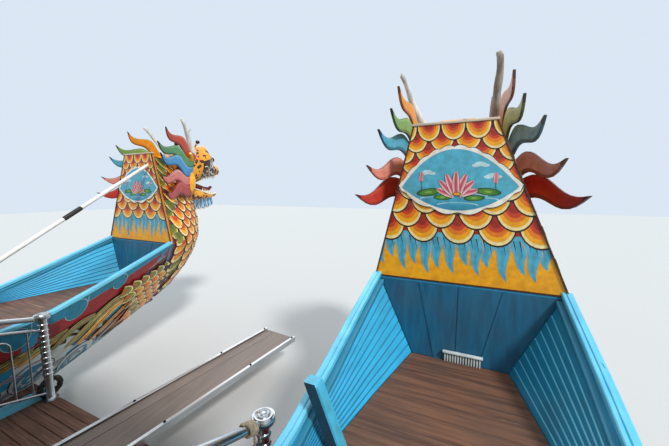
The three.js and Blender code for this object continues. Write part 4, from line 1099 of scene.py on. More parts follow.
MUZZLE_LINES = [
    [(1.18, 2.2), (1.24, 2.13), (1.26, 2.04), (1.22, 1.98), (1.17, 2.0), (1.17, 2.05), (1.2, 2.07)],
    [(1.34, 2.1), (1.3, 2.02), (1.33, 1.97), (1.39, 1.98), (1.4, 2.03), (1.37, 2.05)],
    [(1.16, 1.92), (1.2, 1.87), (1.26, 1.85), (1.33, 1.86), (1.4, 1.88)],
    [(1.15, 2.12), (1.16, 2.02), (1.15, 1.93), (1.17, 1.85)],
    [(1.42, 2.02), (1.46, 1.98), (1.47, 1.93)],
    [(0.97, 1.98), (1.03, 2.0), (1.09, 1.97), (1.1, 1.92), (1.06, 1.9), (1.03, 1.93)],
    [(0.95, 1.88), (1.01, 1.84), (1.07, 1.84), (1.11, 1.87)],
    [(0.97, 1.78), (1.04, 1.79), (1.1, 1.8)],
]
LIPS = [(HEAD, [(0.8, 1.66), (0.95, 1.71), (1.1, 1.77), (1.25, 1.825), (1.4, 1.85), (1.53, 1.87)]),
        (JAW, [(0.62, 1.6), (0.8, 1.585), (1.0, 1.55), (1.2, 1.49), (1.38, 1.46), (1.54, 1.485)])]
TONGUE = [(0.62, 1.63), (0.9, 1.645), (1.15, 1.625), (1.35, 1.575), (1.47, 1.575), (1.53, 1.62)]
CHEEK_DISC = [(0.2, 0.0), (0.19, 0.05), (0.165, 0.078), (0.12, 0.088), (0.09, 0.088), (0.08, 0.096),
              (0.03, 0.1)]
EAR = [(0.33, 0.72, 2.08), (0.4, 0.68, 2.13), (0.46, 0.63, 2.17), (0.5, 0.6, 2.19)]
STALK_SHORTER = {"port": 0.0, "starboard": 0.16}

def cone(base, tip, radius):
    """A tooth: a cone whose tip is eased and bent in edit mode."""
    clean_start()
    axis = Vector(tip) - Vector(base)
    bpy.ops.mesh.primitive_cone_add(vertices=10, radius1=radius, radius2=radius * 0.12, depth=axis.length)
    piece = bpy.context.object
    bpy.ops.object.mode_set(mode="EDIT")
    bpy.ops.mesh.subdivide(number_cuts=2)
    bpy.ops.object.mode_set(mode="OBJECT")
    for v in piece.data.vertices:
        part = v.co.z / axis.length + 0.5
        v.co.y += 0.25 * radius * math.sin(math.pi * part)
    turn = Vector((0, 0, 1)).rotation_difference(axis).to_matrix().to_4x4()
    piece.data.transform(Matrix.Translation((Vector(base) + Vector(tip)) / 2) @ turn)
    return piece

def ball(middle, radius, tall=1.0):
    clean_start()
    bpy.ops.mesh.primitive_uv_sphere_add(segments=24, ring_count=14, radius=radius)
    piece = bpy.context.object
    for v in piece.data.vertices:
        v.co.z *= tall
    piece.data.transform(Matrix.Translation(middle))
    return piece

for side in SIDES:
    head = carved(side, HEAD, HEAD_LUMPS).piece(f"head_form_{side}", "boat", SPOTTED, smooth=60)
    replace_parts(head, f"head_{side}")
    jaw = carved(side, JAW, JAW_LUMPS).piece(f"jaw_form_{side}", "boat", SPOTTED, smooth=60)
    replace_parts(jaw, f"jaw_{side}")
    lines = Shape()
    for hand in HANDS:
        for line in MUZZLE_LINES:
            route = [skin(side, hand, HEAD, y, z) for y, z in smooth_rows(line, 4)]
            lines.pipe(route, lambda t: 0.0075 - 0.004 * t, sides=6)
        for rows, line in LIPS:
            lines.pipe([skin(side, hand, rows, y, z, 0.006) for y, z in smooth_rows(line, 3)], 0.013,
                       sides=8)
    lines.piece(f"white_lines_{side}", "boat", IVORY, smooth=60)
    tongue = Shape()
    tongue.pipe([place(side, 0, y, z) for y, z in TONGUE], lambda t: 0.07 * (1 - 0.6 * t), sides=12)
    tongue.piece(f"tongue_{side}", "boat", MOUTH, smooth=60)
    teeth = []
    for hand in HANDS:
        for i, y in enumerate((1.12, 1.2, 1.28, 1.36, 1.44, 1.52)):
            half, bottom, reach = 0.29 - 0.036 * i, 1.8 + 0.012 * i, 0.085 if i == 4 else 0.055
            low, top = 0.215 - 0.026 * i, 1.545 - 0.014 * i
            teeth.append(cone(place(side, hand * half, y, bottom + 0.02),
                              place(side, hand * half * 0.97, y + 0.01, bottom - reach), 0.02))
            teeth.append(cone(place(side, hand * low, y, top - 0.03),
                              place(side, hand * low, y + 0.01, top + reach * 0.9), 0.018))
    settle(joined(f"teeth_{side}", teeth), "boat", IVORY)
    eyes, whites, discs, reds = [], [], [], []
    for hand in HANDS:
        whites.append(ball(place(side, hand * 0.25, 1.23, 2.13), 0.088))
        eyes.append(ball(place(side, hand * 0.285, 1.275, 2.145), 0.052))
        stalk, short = Shape(), STALK_SHORTER[side]
        stalk.pipe([place(side, hand * x, y, z) for x, y, z in
                    ((0.22, 0.89, 2.2), (0.25, 0.9, 2.34 - short), (0.29, 0.93, 2.435 - short))], 0.015)
        stalk.piece(f"eye_stalk_{side}_{HANDS[hand]}", "boat", SPOTTED)
        eyes.append(ball(place(side, hand * 0.29, 0.93, 2.44 - short), 0.038, 0.9))
        at = place(side, hand * 0.35, 0.7, 1.7)
        disc = turned(CHEEK_DISC, at, (hand, 0, 0), 28)
        for v in disc.data.vertices:
            v.co.y = at[1] + (v.co.y - at[1]) * 0.5
        discs.append(disc)
        spot, facing = Vector(skin(side, hand, HEAD, 1.29, 1.93, -0.012)), (hand, 0.35, 0)
        whites.append(turned([(0.078, 0.0), (0.078, 0.012), (0.07, 0.02)], spot, facing, 24))
        reds.append(turned([(0.056, 0.018), (0.056, 0.024), (0.04, 0.03), (0.02, 0.032)], spot, facing, 20))
        ear = Shape()
        ear.pipe([place(side, hand * x, y, z) for x, y, z in EAR], lambda t: 0.075 * (1 - 0.72 * t), YELLOW,
                 sides=12)
        ear.piece(f"ear_{side}_{HANDS[hand]}", "boat", ORNAMENT, smooth=60)
    settle(joined(f"eyeballs_{side}", whites), "boat", IVORY, smooth=60)
    settle(joined(f"pupils_{side}", eyes), "boat", EYE_BLACK, smooth=60)
    settle(joined(f"muzzle_discs_{side}", reds), "boat", EYE_RED, smooth=50)
    settle(joined(f"cheek_discs_{side}", discs), "boat", CHEEK, smooth=50)
print("heads carved")

# %% Mane, beard and horns
MANE = [
    # root back from the cheek, root z, tip back, tip z, width, wave, degrees that it stands off
    (-0.09, 2.13, 0.585, 2.53, 0.18, 0.046, 9), (-0.06, 2.03, 0.755, 2.28, 0.19, 0.05, 10.5),
    (-0.04, 1.89, 0.825, 2.09, 0.195, 0.052, 18.5), (-0.03, 1.745, 0.93, 1.75, 0.195, 0.052, 23.5),
    (-0.03, 1.6, 0.99, 1.475, 0.22, 0.048, 30.5),
]
# Shade, body and light colours of each flame. LIT_SIDE holds the flames' paint with painted sunlight in it,
# SHADED_SIDE darker copies as painted shade on the side turned from the sun, and FAR_SIDE the flames' own
# paint.
LIT_SIDE = [("b9661a", "ee9a06", "f4ac10"), ("557a42", "82ae58", "94be6a"), ("2f7f9a", "58b8d8", "74c8e0"),
            ("c06e60", "ec9a84", "f2aa9c"), ("9a2a22", "cc3a2a", "d9503c")]
SHADED_SIDE = [("8a4426", "c88a50", "d8a070"), ("566a2a", "92a244", "b0b44c"), ("3f6672", "82b0be", "98c0ca"),
             ("8a4f46", "cf9084", "d89c90"), ("7a1a1a", "b81c1c", "c43030")]
FAR_SIDE = [("8f3620", "c24c30", "d66c48"), ("3f7048", "5fa06a", "86b886"), ("2a70a4", "4aa0d8", "76c2e8"),
            ("b85656", "ec8d80", "f4a89c"), ("8f2224", "c43a34", "dc5648")]
BEARD_STROKES = ((1.42, 0.072, "2b86c0", 0.0135, 0.0115), (1.48, 0.03, "7cc4e2", 0.0145, 0.013))
MANE_PAINTS = {("starboard", -1): LIT_SIDE, ("starboard", 1): SHADED_SIDE, ("port", -1): LIT_SIDE,
               ("port", 1): FAR_SIDE}
for side in SIDES:
    for hand in HANDS:
        for number, (y0, z0, y1, z1, width, wave, flare) in enumerate(MANE):
            def surface(u, v, height, side=side, hand=hand, turn=math.radians(flare)):
                return place(side, hand * (0.4 + height * math.cos(turn) + u * math.sin(turn)),
                             0.7 + height * math.sin(turn) - u * math.cos(turn), v)
            one = Shape()
            flame(one, surface, (y0, z0), (y1, z1), width, wave, MANE_PAINTS[side, hand][number])
            name = f"mane_{side}_{HANDS[hand]}_{number + 1}"
            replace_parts(one.piece(name, "boat", ORNAMENT, smooth=8), f"head_{side}")
    beard = Shape()
    for y, length, lean in ((0.9, 0.19, -0.05), (0.98, 0.21, -0.03), (1.06, 0.23, -0.01),
                            (1.14, 0.235, 0.01), (1.22, 0.23, 0.03), (1.3, 0.21, 0.05), (1.37, 0.18, 0.07)):
        for x in (-0.135, -0.065, 0, 0.065, 0.135):
            root, lift = (y, 1.42), 0.004 * (round(y * 50) % 2)
            def hair(u, v, height, x=x, side=side):
                return place(side, x + height, u, v)
            tip = (y + lean, 1.4 - length)
            beard.patch(hair, pointed(root, tip, 0.1, 0.006), linear("e4eef0"), 0.012 + lift, -0.012 - lift)
            for way in (-1, 1):
                def face(u, v, height, x=x, side=side, way=way):
                    return place(side, x + way * height, u, v)
                for end, width, code, top, base in BEARD_STROKES:
                    stroke = pointed(root, (y + lean, end - length), width, 0.006)
                    beard.patch(face, stroke, linear(code), top + lift, base + lift)
    beard.piece(f"beard_{side}", "boat", ORNAMENT)
print("manes and beards")
# The horns share one pale colour. HORN_PALE_SUNLIT carries painted sunlight on it; HORN_GREY_IN_SHADE
# darkens the starboard hull's starboard horn to grey as painted shade.
HORN_GREY_IN_SHADE = finish("horn_grey_in_shade", "aca093", "6f665b", rough=0.8, grain="z", streak=0.9, grime=0.3, bump=0.8)
HORN_PALE_SUNLIT = finish("pale_sunlit_horn", "dcd9d0", "a9a498", rough=0.7, grain="z", streak=0.7, bump=0.5)
HORNS = {
    # tip x, tip z, root radius, tip radius, wood, the finish: pale with painted sunlight, grey as painted
    # shade
    "port": ((-0.58, 2.7, 0.046, 0.022, HORN_PALE_SUNLIT), (0.4, 2.77, 0.06, 0.02, HORN_PALE_SUNLIT)),
    "starboard": ((-0.52, 2.8, 0.05, 0.022, HORN_PALE_SUNLIT), (0.415, 2.84, 0.05, 0.027, HORN_GREY_IN_SHADE)),
}
for side in SIDES:
    for (tip_x, tip_z, root_radius, tip_radius, wood), hand in zip(HORNS[side], (-1, 1)):
        route, root_x = [], 0.385 if wood is HORN_GREY_IN_SHADE else hand * 0.33
        for i in range(15):
            t = i / 14
            route.append(place(side, root_x + (tip_x - root_x) * t + 0.01 * math.sin(9 * t),
                               0.8 - 0.3 * t + 0.03 * math.sin(math.pi * t),
                               2.16 + (tip_z - 0.02 - 2.16) * t))
        top = Vector(route[-1])
        hook = 2.4 if wood is HORN_GREY_IN_SHADE else 1.0
        route += [top + hook * Vector((-0.006, -0.002, 0.011)), top + hook * Vector((-0.014, -0.004, 0.01))]
        horn = Shape()
        def size(t, root_radius=root_radius, tip_radius=tip_radius):
            end = 1 if t < 0.95 else 1 - 9 * (t - 0.95)
            return (root_radius + (tip_radius - root_radius) * t) * end * (1 + 0.05 * math.sin(23 * t))
        horn.pipe(route, size, sides=14)
        if wood is HORN_GREY_IN_SHADE:
            stub = [Vector(route[1]) + Vector((-0.055, -0.02, 0.045 * k)) for k in range(8)]
            horn.pipe(stub, lambda t: 0.03 * (1 - 0.5 * t ** 3), sides=12)
        elif side == "port" and hand == 1:
            horn.pipe([route[9], Vector(route[10]) + Vector((0.03, 0.03, 0.0)),
                       Vector(route[11]) + Vector((0.05, 0.07, 0.0))],
                      lambda t: 0.02 * (1 - 0.6 * t), sides=10)
        name = HANDS[hand]
        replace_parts(horn.piece(f"horn_{name}_on_{side}", "boat", wood, smooth=60),
                    f"horn_{name}_{side}_hull")
print("horns", 4)

# %% [markdown]
# ## Gangplank
# Two thin sheets lie side by side between channel rails, stiffened by cross bars underneath, and
# the whole turns on one bar in two ears. It is laid out along its hinge and then turned into place.

# %% Gangplank
SHEET = finish("plank_sheet", "7b6c62", "63564d", rough=0.6, grain="y", streak=0.5, grime=0.25, fine=0.012,
               bump=0.3)
CHANNEL = finish("channel_metal", "d4d6d6", "9fa3a4", rough=0.32, metal=0.85, grain="y", streak=0.5,
                 grime=0.2)
DARK_BOLT = finish("dark_bolt", "23201e", "3a3029", rough=0.5, metal=0.6)
HINGE_AT, HEADING = Vector((-0.38, 4.12, 0.44)), math.radians(6.1)
PLANK_TURN = Matrix.Translation(HINGE_AT) @ Matrix.Rotation(-HEADING, 4, "Z")

def on_plank(piece, name, *materials, smooth=40):
    """Turns a finished piece from the hinge's own axes into place on the gangplank."""
    piece.name = name
    piece.data.transform(PLANK_TURN)
    made = settle(piece, "gangplank", *materials, smooth=smooth)
    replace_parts(made, "gangplank")
    return made

sheets = [timber(low, high, 0.003) for low, high in (
    ((-0.282, 0.06, -0.008), (-0.108, 3.128, 0.02)), ((-0.099, 0.06, -0.008), (0.282, 3.128, 0.0205)))]
sheets.append(timber((-0.229, 0.08, 0.0195), (-0.223, 3.12, 0.0215), 0.0005))
on_plank(joined("gangplank_sheets", sheets), "gangplank_sheets", SHEET)
on_plank(timber((-0.11, 0.065, -0.006), (-0.097, 3.125, 0.012), 0.001), "gangplank_seam", DARK_BOLT)
for hand in HANDS:
    section = [(0.3, -0.03), (0.3, 0.041), (0.296, 0.045), (0.264, 0.045), (0.26, 0.041), (0.26, 0.034),
               (0.29, 0.032), (0.29, -0.023), (0.262, -0.025), (0.262, -0.03)]
    rail = Shape()
    rail.loft([[PLANK_TURN @ Vector((hand * x, y, z)) for x, z in section] for y in (-0.01, 1.0, 2.0, 3.13)])
    name = HANDS[hand]
    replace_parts(rail.piece(f"gangplank_channel_{name}", "gangplank", CHANNEL, smooth=20), "gangplank")
bars = [timber((-0.29, y - 0.02, -0.028), (0.29, y + 0.02, -0.006), 0.003)
        for y in (0.45, 1.15, 1.85, 2.55, 3.0)]
on_plank(joined("gangplank_cross_bars", bars), "gangplank_cross_bars", CHANNEL)
bolts = []
for hand in HANDS:
    for y in (0.12, 1.15, 2.25, 3.08):
        bolts.append(turned([(0.015, 0.043), (0.015, 0.05), (0.01, 0.053), (0.01, 0.058), (0.006, 0.06)],
                            (hand * 0.278, y, 0), sides=6))
for x in (-0.21, -0.14, -0.02, 0.1, 0.21):
    bolts.append(turned([(0.008, 0.018), (0.007, 0.0235), (0.003, 0.0225)], (x, 3.08, 0), sides=10))
on_plank(joined("gangplank_bolts", bolts), "gangplank_bolts", DARK_BOLT)
knuckle = [turned([(0.016, -0.372), (0.016, 0.368), (0.012, 0.372)], (0, 0, 0), (1, 0, 0), 20),
           turned([(0.022, -0.24), (0.023, -0.235), (0.023, 0.235), (0.022, 0.24)], (0, 0, 0), (1, 0, 0),
                  20)]
knuckle += [timber((x - 0.02, 0.0, -0.026), (x + 0.02, 0.2, -0.006), 0.003) for x in (-0.18, 0.0, 0.18)]
on_plank(joined("gangplank_hinge_bar", knuckle), "gangplank_hinge_bar", CHANNEL)
print("gangplank pieces", 7)

# %% [markdown]
# ## Boarding platform
# Narrow boards run athwart on two blue beams, with a bright toe board along each side and the
# stainless rails behind it. Its boards are cut to the hulls' curved sides.

# %% Platform boards, toe boards, beams and steps
DECKING = finish("platform_boards", "775240", "4e3529", rough=0.7, grain="x", streak=0.9, grime=0.35,
                 fine=0.01, bump=0.6)
FRAME_BLUE = finish("frame_blue", "2f6a86", "1f4c64", rough=0.45, grain="x", chips=0.04, bare="6a6258")
TOE_BLUE = finish("toe_board_blue", "6cc9e2", "49a6c6", rough=0.4, grain="y", chips=0.06, bare="47757f")
PLATFORM_Z, DECK_TOP, TREADS, TOE_X = 0.4, 1.2803, 3, 1.62

def side_half(side, y, z):
    """How far out the hull's side is at boat position y and height z."""
    at = hull_at(y - AHEAD[side])
    if z >= at["side"]:
        part = (z - at["side"]) / (at["gun"] - at["side"])
        return at["side_half"] + (at["gun_half"] - at["side_half"]) * part
    part = max(0.0, (z - at["bilge"]) / (at["side"] - at["bilge"]))
    return at["bilge_half"] + (at["side_half"] - at["bilge_half"]) * part

def between_hulls(y, z):
    """How far a board reaches to port and to starboard before it meets the hulls."""
    return [sign * (HULL_X - side_half(side, y, z) - 0.0015) for side, sign in SIDES.items()]

def board_between(shape, y0, y1, low, high, eased=0.004):
    """A board from hull to hull whose ends follow the hulls' flare."""
    rings = []
    for share in (0, 1):
        ring = []
        for y, z in ((y0, low + eased), (y0, high - eased), (y0 + eased, high), (y1 - eased, high),
                     (y1, high - eased), (y1, low + eased), (y1 - eased, low), (y0 + eased, low)):
            ring.append((between_hulls(y, z)[share], y, z))
        rings.append(ring)
    steps = [[tuple(a + (b - a) * t for a, b in zip(p, q)) for p, q in zip(*rings)]
             for t in (0, 0.25, 0.5, 0.75, 1)]
    shape.loft(steps)

planks = Shape()
PLATFORM_REAR, PLATFORM_FRONT, PLATFORM_BOARDS, GAP = 3.0, 5.06, 21, 0.004
pitch = (PLATFORM_FRONT - PLATFORM_REAR) / PLATFORM_BOARDS
for k in range(PLATFORM_BOARDS):
    rear = PLATFORM_REAR + k * pitch
    board_between(planks, rear + GAP / 2, rear + pitch - GAP / 2, 0.351, 0.399)
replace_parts(planks.piece("platform_boards", "boat", DECKING, smooth=20), "boarding_platform")
hole = [(0.0172 * c, 0.0172 * s) for c, s in circle(16)]
outline = [(max(-0.035, min(0.035, 0.06 * c)), max(-0.04, min(0.029, 0.06 * s))) for c, s in circle(16)]
for hand in HANDS:
    ear = Shape()
    ear.loft([[PLANK_TURN @ Vector((hand * x, y, z)) for y, z in line] for x, line in
              ((0.338, hole), (0.338, outline), (0.362, outline), (0.362, hole))], loop=True)
    name = HANDS[hand]
    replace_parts(ear.piece(f"hinge_ear_{name}", "boat", CHANNEL, smooth=30), "boarding_platform")
for name, y in (("rear", 3.2), ("front", 4.7)):
    beam = Shape()
    board_between(beam, y - 0.06, y + 0.06, 0.231, 0.349, 0.008)
    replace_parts(beam.piece(f"blue_beam_{name}", "boat", FRAME_BLUE, smooth=20), f"platform_beam_{name}")
toes = []
for hand, front in ((-1, 5.04), (1, 4.95)):
    toe = timber((hand * TOE_X - 0.018, 3.3, PLATFORM_Z), (hand * TOE_X + 0.018, front, PLATFORM_Z + 0.09),
                 0.008)
    for v in toe.data.vertices:
        if v.co.z > 0.45:
            v.co.z += 0.02
    toes.append(toe)
settle(joined("platform_toe_boards", toes), "boat", TOE_BLUE)
rise = (DECK_TOP - PLATFORM_Z) / (TREADS + 1)
treads = []
for i in range(TREADS):
    z, front = PLATFORM_Z + rise * (i + 1), 3.99 - 0.23 * i
    for k in range(2):
        treads.append(timber((-0.565, front - 0.25 + k * 0.126, z - 0.034),
                             (0.565, front - 0.25 + k * 0.126 + 0.122, z), 0.005))
    for x in (-0.3, 0.3):
        treads.append(timber((x - 0.02, front - 0.22, z - 0.07), (x + 0.02, front - 0.03, z - 0.034), 0.003))
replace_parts(settle(joined("step_treads", treads), "boat", DECKING), "boarding_steps")
for name, x in (("port", -0.6), ("starboard", 0.565)):
    cheek = Shape()
    outline = [(3.2605, 0.401), (3.95, 0.401), (3.95, PLATFORM_Z + rise - 0.01), (3.32, 1.22),
               (3.2605, 1.22)]
    inner = towards(outline, (3.5, 0.8), 0.012, 0.012)
    cheek.loft([[(x + dx, y, z) for y, z in line]
                for dx, line in ((0, inner), (0.003, outline), (0.032, outline), (0.035, inner))])
    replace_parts(cheek.piece(f"step_cheek_{name}", "boat", FRAME_BLUE, smooth=20), "boarding_steps")
for name, y in (("rear", -4.7), ("middle", -0.9), ("front", 2.9)):
    half = HULL_X - 0.87 - 0.01 - 0.0003
    beam = timber((-half, y - 0.09, 1.0), (half, y + 0.09, 1.22), 0.01)
    beam.name = f"blue_cross_beam_{name}"
    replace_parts(settle(beam, "boat", FRAME_BLUE), f"cross_beam_{name}")
print("platform")

# %% Stainless rails
STEEL = finish("rail_steel", "c3c6c8", "8d9194", rough=0.2, metal=1.0, grain="z", streak=0.3, grime=0.25,
               bump=0.05)
RAIL_X, RAIL_REAR, RAIL_BASE, RAIL_TALL = 1.54, 3.42, PLATFORM_Z, 0.95
TOP_SHARE, UPPER_SHARE, LOWER_SHARE = 0.97, 0.84, 0.08
RAIL_FRONT, CLIMB = {"port": 5.0, "starboard": 4.82}, {"port": 0.28, "starboard": 0.45}

def on_rail(side, y, share):
    """A point in the rail's plane; the rails climb as they run aft."""
    return (SIDES[side] * RAIL_X, y, RAIL_BASE + RAIL_TALL * share + (RAIL_FRONT[side] - y) * CLIMB[side])

def ringed_post(x, y):
    """A tube with turned rings, on a foot flange, under a cap of concentric rings."""
    profile = [(0.075, 0.001), (0.075, 0.008), (0.06, 0.014), (0.044, 0.02), (0.038, 0.03)]
    for k in range(10):
        h = 0.3 + 0.062 * k
        profile += [(0.038, h - 0.014), (0.044, h - 0.008), (0.046, h), (0.044, h + 0.008),
                    (0.038, h + 0.014)]
    top = RAIL_TALL * 0.98
    profile += [(0.04, top - 0.012), (0.066, top - 0.004), (0.072, top + 0.006), (0.072, top + 0.03),
                (0.067, top + 0.04), (0.06, top + 0.038), (0.055, top + 0.047), (0.047, top + 0.049),
                (0.041, top + 0.045), (0.034, top + 0.053), (0.026, top + 0.055), (0.021, top + 0.051),
                (0.015, top + 0.057), (0.005, top + 0.059)]
    return turned(profile, (x, y, RAIL_BASE), sides=36)

for side, sign in SIDES.items():
    x, front = sign * RAIL_X, RAIL_FRONT[side]
    parts = [ringed_post(x, front)]
    tall = on_rail(side, RAIL_REAR, TOP_SHARE)[2] - RAIL_BASE
    parts.append(turned([(0.05, 0.001), (0.05, 0.006), (0.025, 0.012), (0.025, tall)],
                        (x, RAIL_REAR, RAIL_BASE), sides=20))
    settle(joined(f"rail_posts_{side}", parts), "boat", STEEL)
    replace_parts(bpy.data.objects[f"rail_posts_{side}"], f"platform_rail_{side}")
    rails = Shape()
    for share, radius in ((TOP_SHARE, 0.027), (UPPER_SHARE, 0.0145), (LOWER_SHARE, 0.0145)):
        rails.pipe([on_rail(side, y, share) for y in (RAIL_REAR, 4.2, front)], radius, sides=16)
    places = [RAIL_REAR + (front - RAIL_REAR) * (i + 1) / 12 for i in range(11)]
    for i in (0, 1, 4, 7, 10):
        rails.pipe([on_rail(side, places[i], share) for share in (LOWER_SHARE, 0.5, UPPER_SHARE)], 0.008,
                   sides=8)
    for i in (2, 5, 8):
        a, b, turn, top = places[i], places[i + 1], 0.05, 0.74
        hoop = [on_rail(side, a, LOWER_SHARE), on_rail(side, a, top - turn)]
        hoop += [on_rail(side, a + turn - turn * math.cos(t), top - turn + turn * math.sin(t))
                 for t in (0.4, 0.8, 1.2, 1.57)]
        hoop += [on_rail(side, b - turn + turn * math.sin(t), top - turn + turn * math.cos(t))
                 for t in (0, 0.4, 0.8, 1.2)]
        hoop += [on_rail(side, b, top - turn), on_rail(side, b, LOWER_SHARE)]
        rails.pipe(hoop, 0.009, sides=10)
    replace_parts(rails.piece(f"stainless_rails_{side}", "boat", STEEL, smooth=60), f"platform_rail_{side}")
print("rails")

# %% Rope at the starboard rail and rope fender at the platform's port corner
ROPE = finish("pale_rope", "b9a98c", "6f6150", rough=0.9, streak=0.6, fine=0.01, bump=0.8)
TARRED = finish("tarred_rope", "3b332b", "1d1915", rough=0.85, streak=0.7, fine=0.015, bump=0.9)

STRANDS = 3

def twisted(shape, route, radius, lay=5.0):
    """Strands wound round a smooth route."""
    route = [Vector(p) for p in route]
    for strand in range(STRANDS):
        line, gone, across = [], 0.0, None
        for i, p in enumerate(route):
            ahead = (route[min(i + 1, len(route) - 1)] - route[max(i - 1, 0)]).normalized()
            across = across or ahead.orthogonal()
            across = (across - ahead * across.dot(ahead)).normalized()
            gone += (p - route[i - 1]).length if i else 0
            turn = 2 * math.pi * (gone / (lay * radius) + strand / STRANDS)
            line.append(p + (across * math.cos(turn) + ahead.cross(across) * math.sin(turn)) * radius * 0.5)
        shape.pipe(line, radius * 0.56, sides=7)

WRAP_TURNS, WRAP_STEPS = 4.5, 110
lashing, wrap = Shape(), []
for k in range(WRAP_STEPS):
    t = k / (WRAP_STEPS - 1)
    turn = t * WRAP_TURNS * 2 * math.pi + math.pi / 2
    middle = Vector(on_rail("starboard", 4.66 + 0.075 * t, TOP_SHARE))
    wrap.append(middle + Vector((0.035 * math.cos(turn), 0, 0.037 * math.sin(turn))))
end = wrap[-1]
twisted(lashing, wrap, 0.0085)
lashing.piece("rail_lashing", "boat", ROPE, smooth=60)
fall = [end + Vector((0, 0.0005 * k, -0.02 * k)) for k in range(34)]
hanging_end, stopper = Shape(), Shape()
twisted(hanging_end, fall, 0.0085)
foot = fall[-1]
turns = [2 * math.pi * k / 12 for k in range(31)]
twisted(stopper, [foot + Vector((0.012 * math.cos(t), 0.012 * math.sin(t), 0.0024 * t - 0.012))
                  for t in turns], 0.0075)
knot = stopper.piece("rail_rope_knot", "boat", ROPE, smooth=60)
tail = hanging_end.piece("rail_rope_end", "boat", ROPE, smooth=60)
tuple(end)
fender, loop = Shape(), circle(60)
ring = [(-1.58 + 0.03 * s, 5.0 + 0.09 * c + 0.02, 0.52 + 0.1 * s) for c, s in loop + loop[:1]]
twisted(fender, ring, 0.028, lay=6)
fender.piece("rope_fender", "boat", TARRED, smooth=60)
print("ropes")

# %% Mooring post and pipe brace
POST_BLUE = finish("post_blue", "ffffff", source=hand_paint, rough=0.45, grain="z", streak=0.5, grime=0.25,
                   chips=0.03, bare="3d4a4c")
timber_post = Shape()
foot, head = Vector((HULL_X - 0.585, 4.98, 1.152)), Vector((HULL_X - 0.745, 4.95, 1.59))
rings, FLAT, CORNER = [], 0.045, 0.036
for t, grow in ((0, 1), (0.3, 1), (0.6, 1), (0.97, 1), (1, 0.9)):
    middle, half, cut = foot + (head - foot) * t, FLAT * grow, CORNER * grow
    rings.append([middle + Vector((x, y, 0))
                  for x, y in ((half, -cut), (half, cut), (cut, half), (-cut, half), (-half, cut),
                               (-half, -cut), (-cut, -half), (cut, -half))])
# The post's blue paint, one colour per face: brightened on the starboard faces as painted sunlight, darkened
# round to port and aft as painted shade.
post_faces_lit_and_shaded = [linear(c) for c in ["49b4d6"] * 2 + ["2f86a6"] + ["1d4c66"] * 3 + ["1b4259", "3a9cc0"]]
timber_post.loft(rings, lambda t, i: post_faces_lit_and_shaded[i])
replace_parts(timber_post.piece("squared_mooring_post", "boat", POST_BLUE, smooth=20), "mooring_post")
PIPE_WHITE = finish("pipe_white", "eceae2", "c4c0b4", rough=0.35, grain="none", streak=0.4, grime=0.2,
                    chips=0.02, bare="5f574c")
SLEEVE = finish("black_sleeve", "161514", "2c2926", rough=0.6, streak=0.5)
bottom = Vector(on_hull("port", 0.52, 3.42, 1.176))
top = Vector(on_hull("port", 0.4, 6.374, 3.1))
brace, sleeve = Shape(), Shape()
brace.pipe([bottom + (top - bottom) * t for t in (0, 0.25, 0.5, 0.75, 0.985, 1)],
           lambda t: 0.025 if t < 0.95 else 0.021, sides=20)
sleeve.pipe([bottom + (top - bottom) * t for t in (0.6, 0.605, 0.665, 0.67)],
            lambda t: 0.0295 if 0.2 < t < 0.8 else 0.0262, sides=20)
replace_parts(brace.piece("white_brace_pipe", "boat", PIPE_WHITE, smooth=60), "pipe_brace")
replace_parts(sleeve.piece("brace_sleeve", "boat", SLEEVE, smooth=60), "pipe_brace")
flange = timber((bottom.x - 0.06, bottom.y - 0.06, 1.1505), (bottom.x + 0.06, bottom.y + 0.06, 1.18), 0.006)
flange.name = "brace_foot_plate"
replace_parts(settle(flange, "boat", PIPE_WHITE), "pipe_brace")
print("post and brace")

# %% [markdown]
# ## Cabin
# The passengers' cabin is carpentry: a boarded deck, studs with boards between them up to the
# sills, glazed windows, framed doors and slatted benches. Each board is modelled once and copied
# along its row, the way that a boatyard cuts them.

# %% Rows of boards
DECK_FOOT, WALL_FOOT, WALL_HEAD, WALL_X = 1.2203, 1.2806, 3.3306, 2.98
SILL_Z, HEAD_Z = WALL_FOOT + 0.8, WALL_FOOT + 1.82
CROSS_Z = HEAD_Z - 0.3
DECK_PAINT = finish("deck_paint", "5d8491", "3f6371", rough=0.5, grain="y", streak=0.7, chips=0.07,
                    bare="7d6a55", bump=0.5)
CREAM = finish("cream_paint", "e8e2cc", "cabf9f", rough=0.4, grain="z", streak=0.5, grime=0.25, chips=0.025,
               bare="8a7a66")
TRIM_RED = finish("trim_red", "a3312a", "70201d", rough=0.38, grain="z", streak=0.5, grime=0.2, chips=0.03,
                  bare="6a4a3a")
VARNISH = finish("varnished_wood", "8d5930", "5d3519", rough=0.3, grain="y", streak=0.9, grime=0.2,
                 fine=0.01, bump=0.4)
BRASS = finish("worn_brass", "a8843f", "6f5527", rough=0.35, metal=1.0, streak=0.5, grime=0.3)

def window_glass():
    made = bpy.data.materials.new("window_glass")
    made.use_nodes = True
    tree = made.node_tree
    shader = tree.nodes["Principled BSDF"]
    where = object_place(tree)
    haze = cloud(tree, where, 0.3, 0.4, 0.9)
    rough = add_node(tree, "MapRange", {"Value": haze, "To Min": 0.04, "To Max": 0.3})
    tree.links.new(rough.outputs[0], shader.inputs["Roughness"])
    tint = mixed(tree, haze, (0.75, 0.86, 0.86, 1), (0.55, 0.62, 0.6, 1))
    tree.links.new(tint, shader.inputs["Base Color"])
    shader.inputs["Transmission Weight"].default_value = 0.9
    return made

GLASS = window_glass()

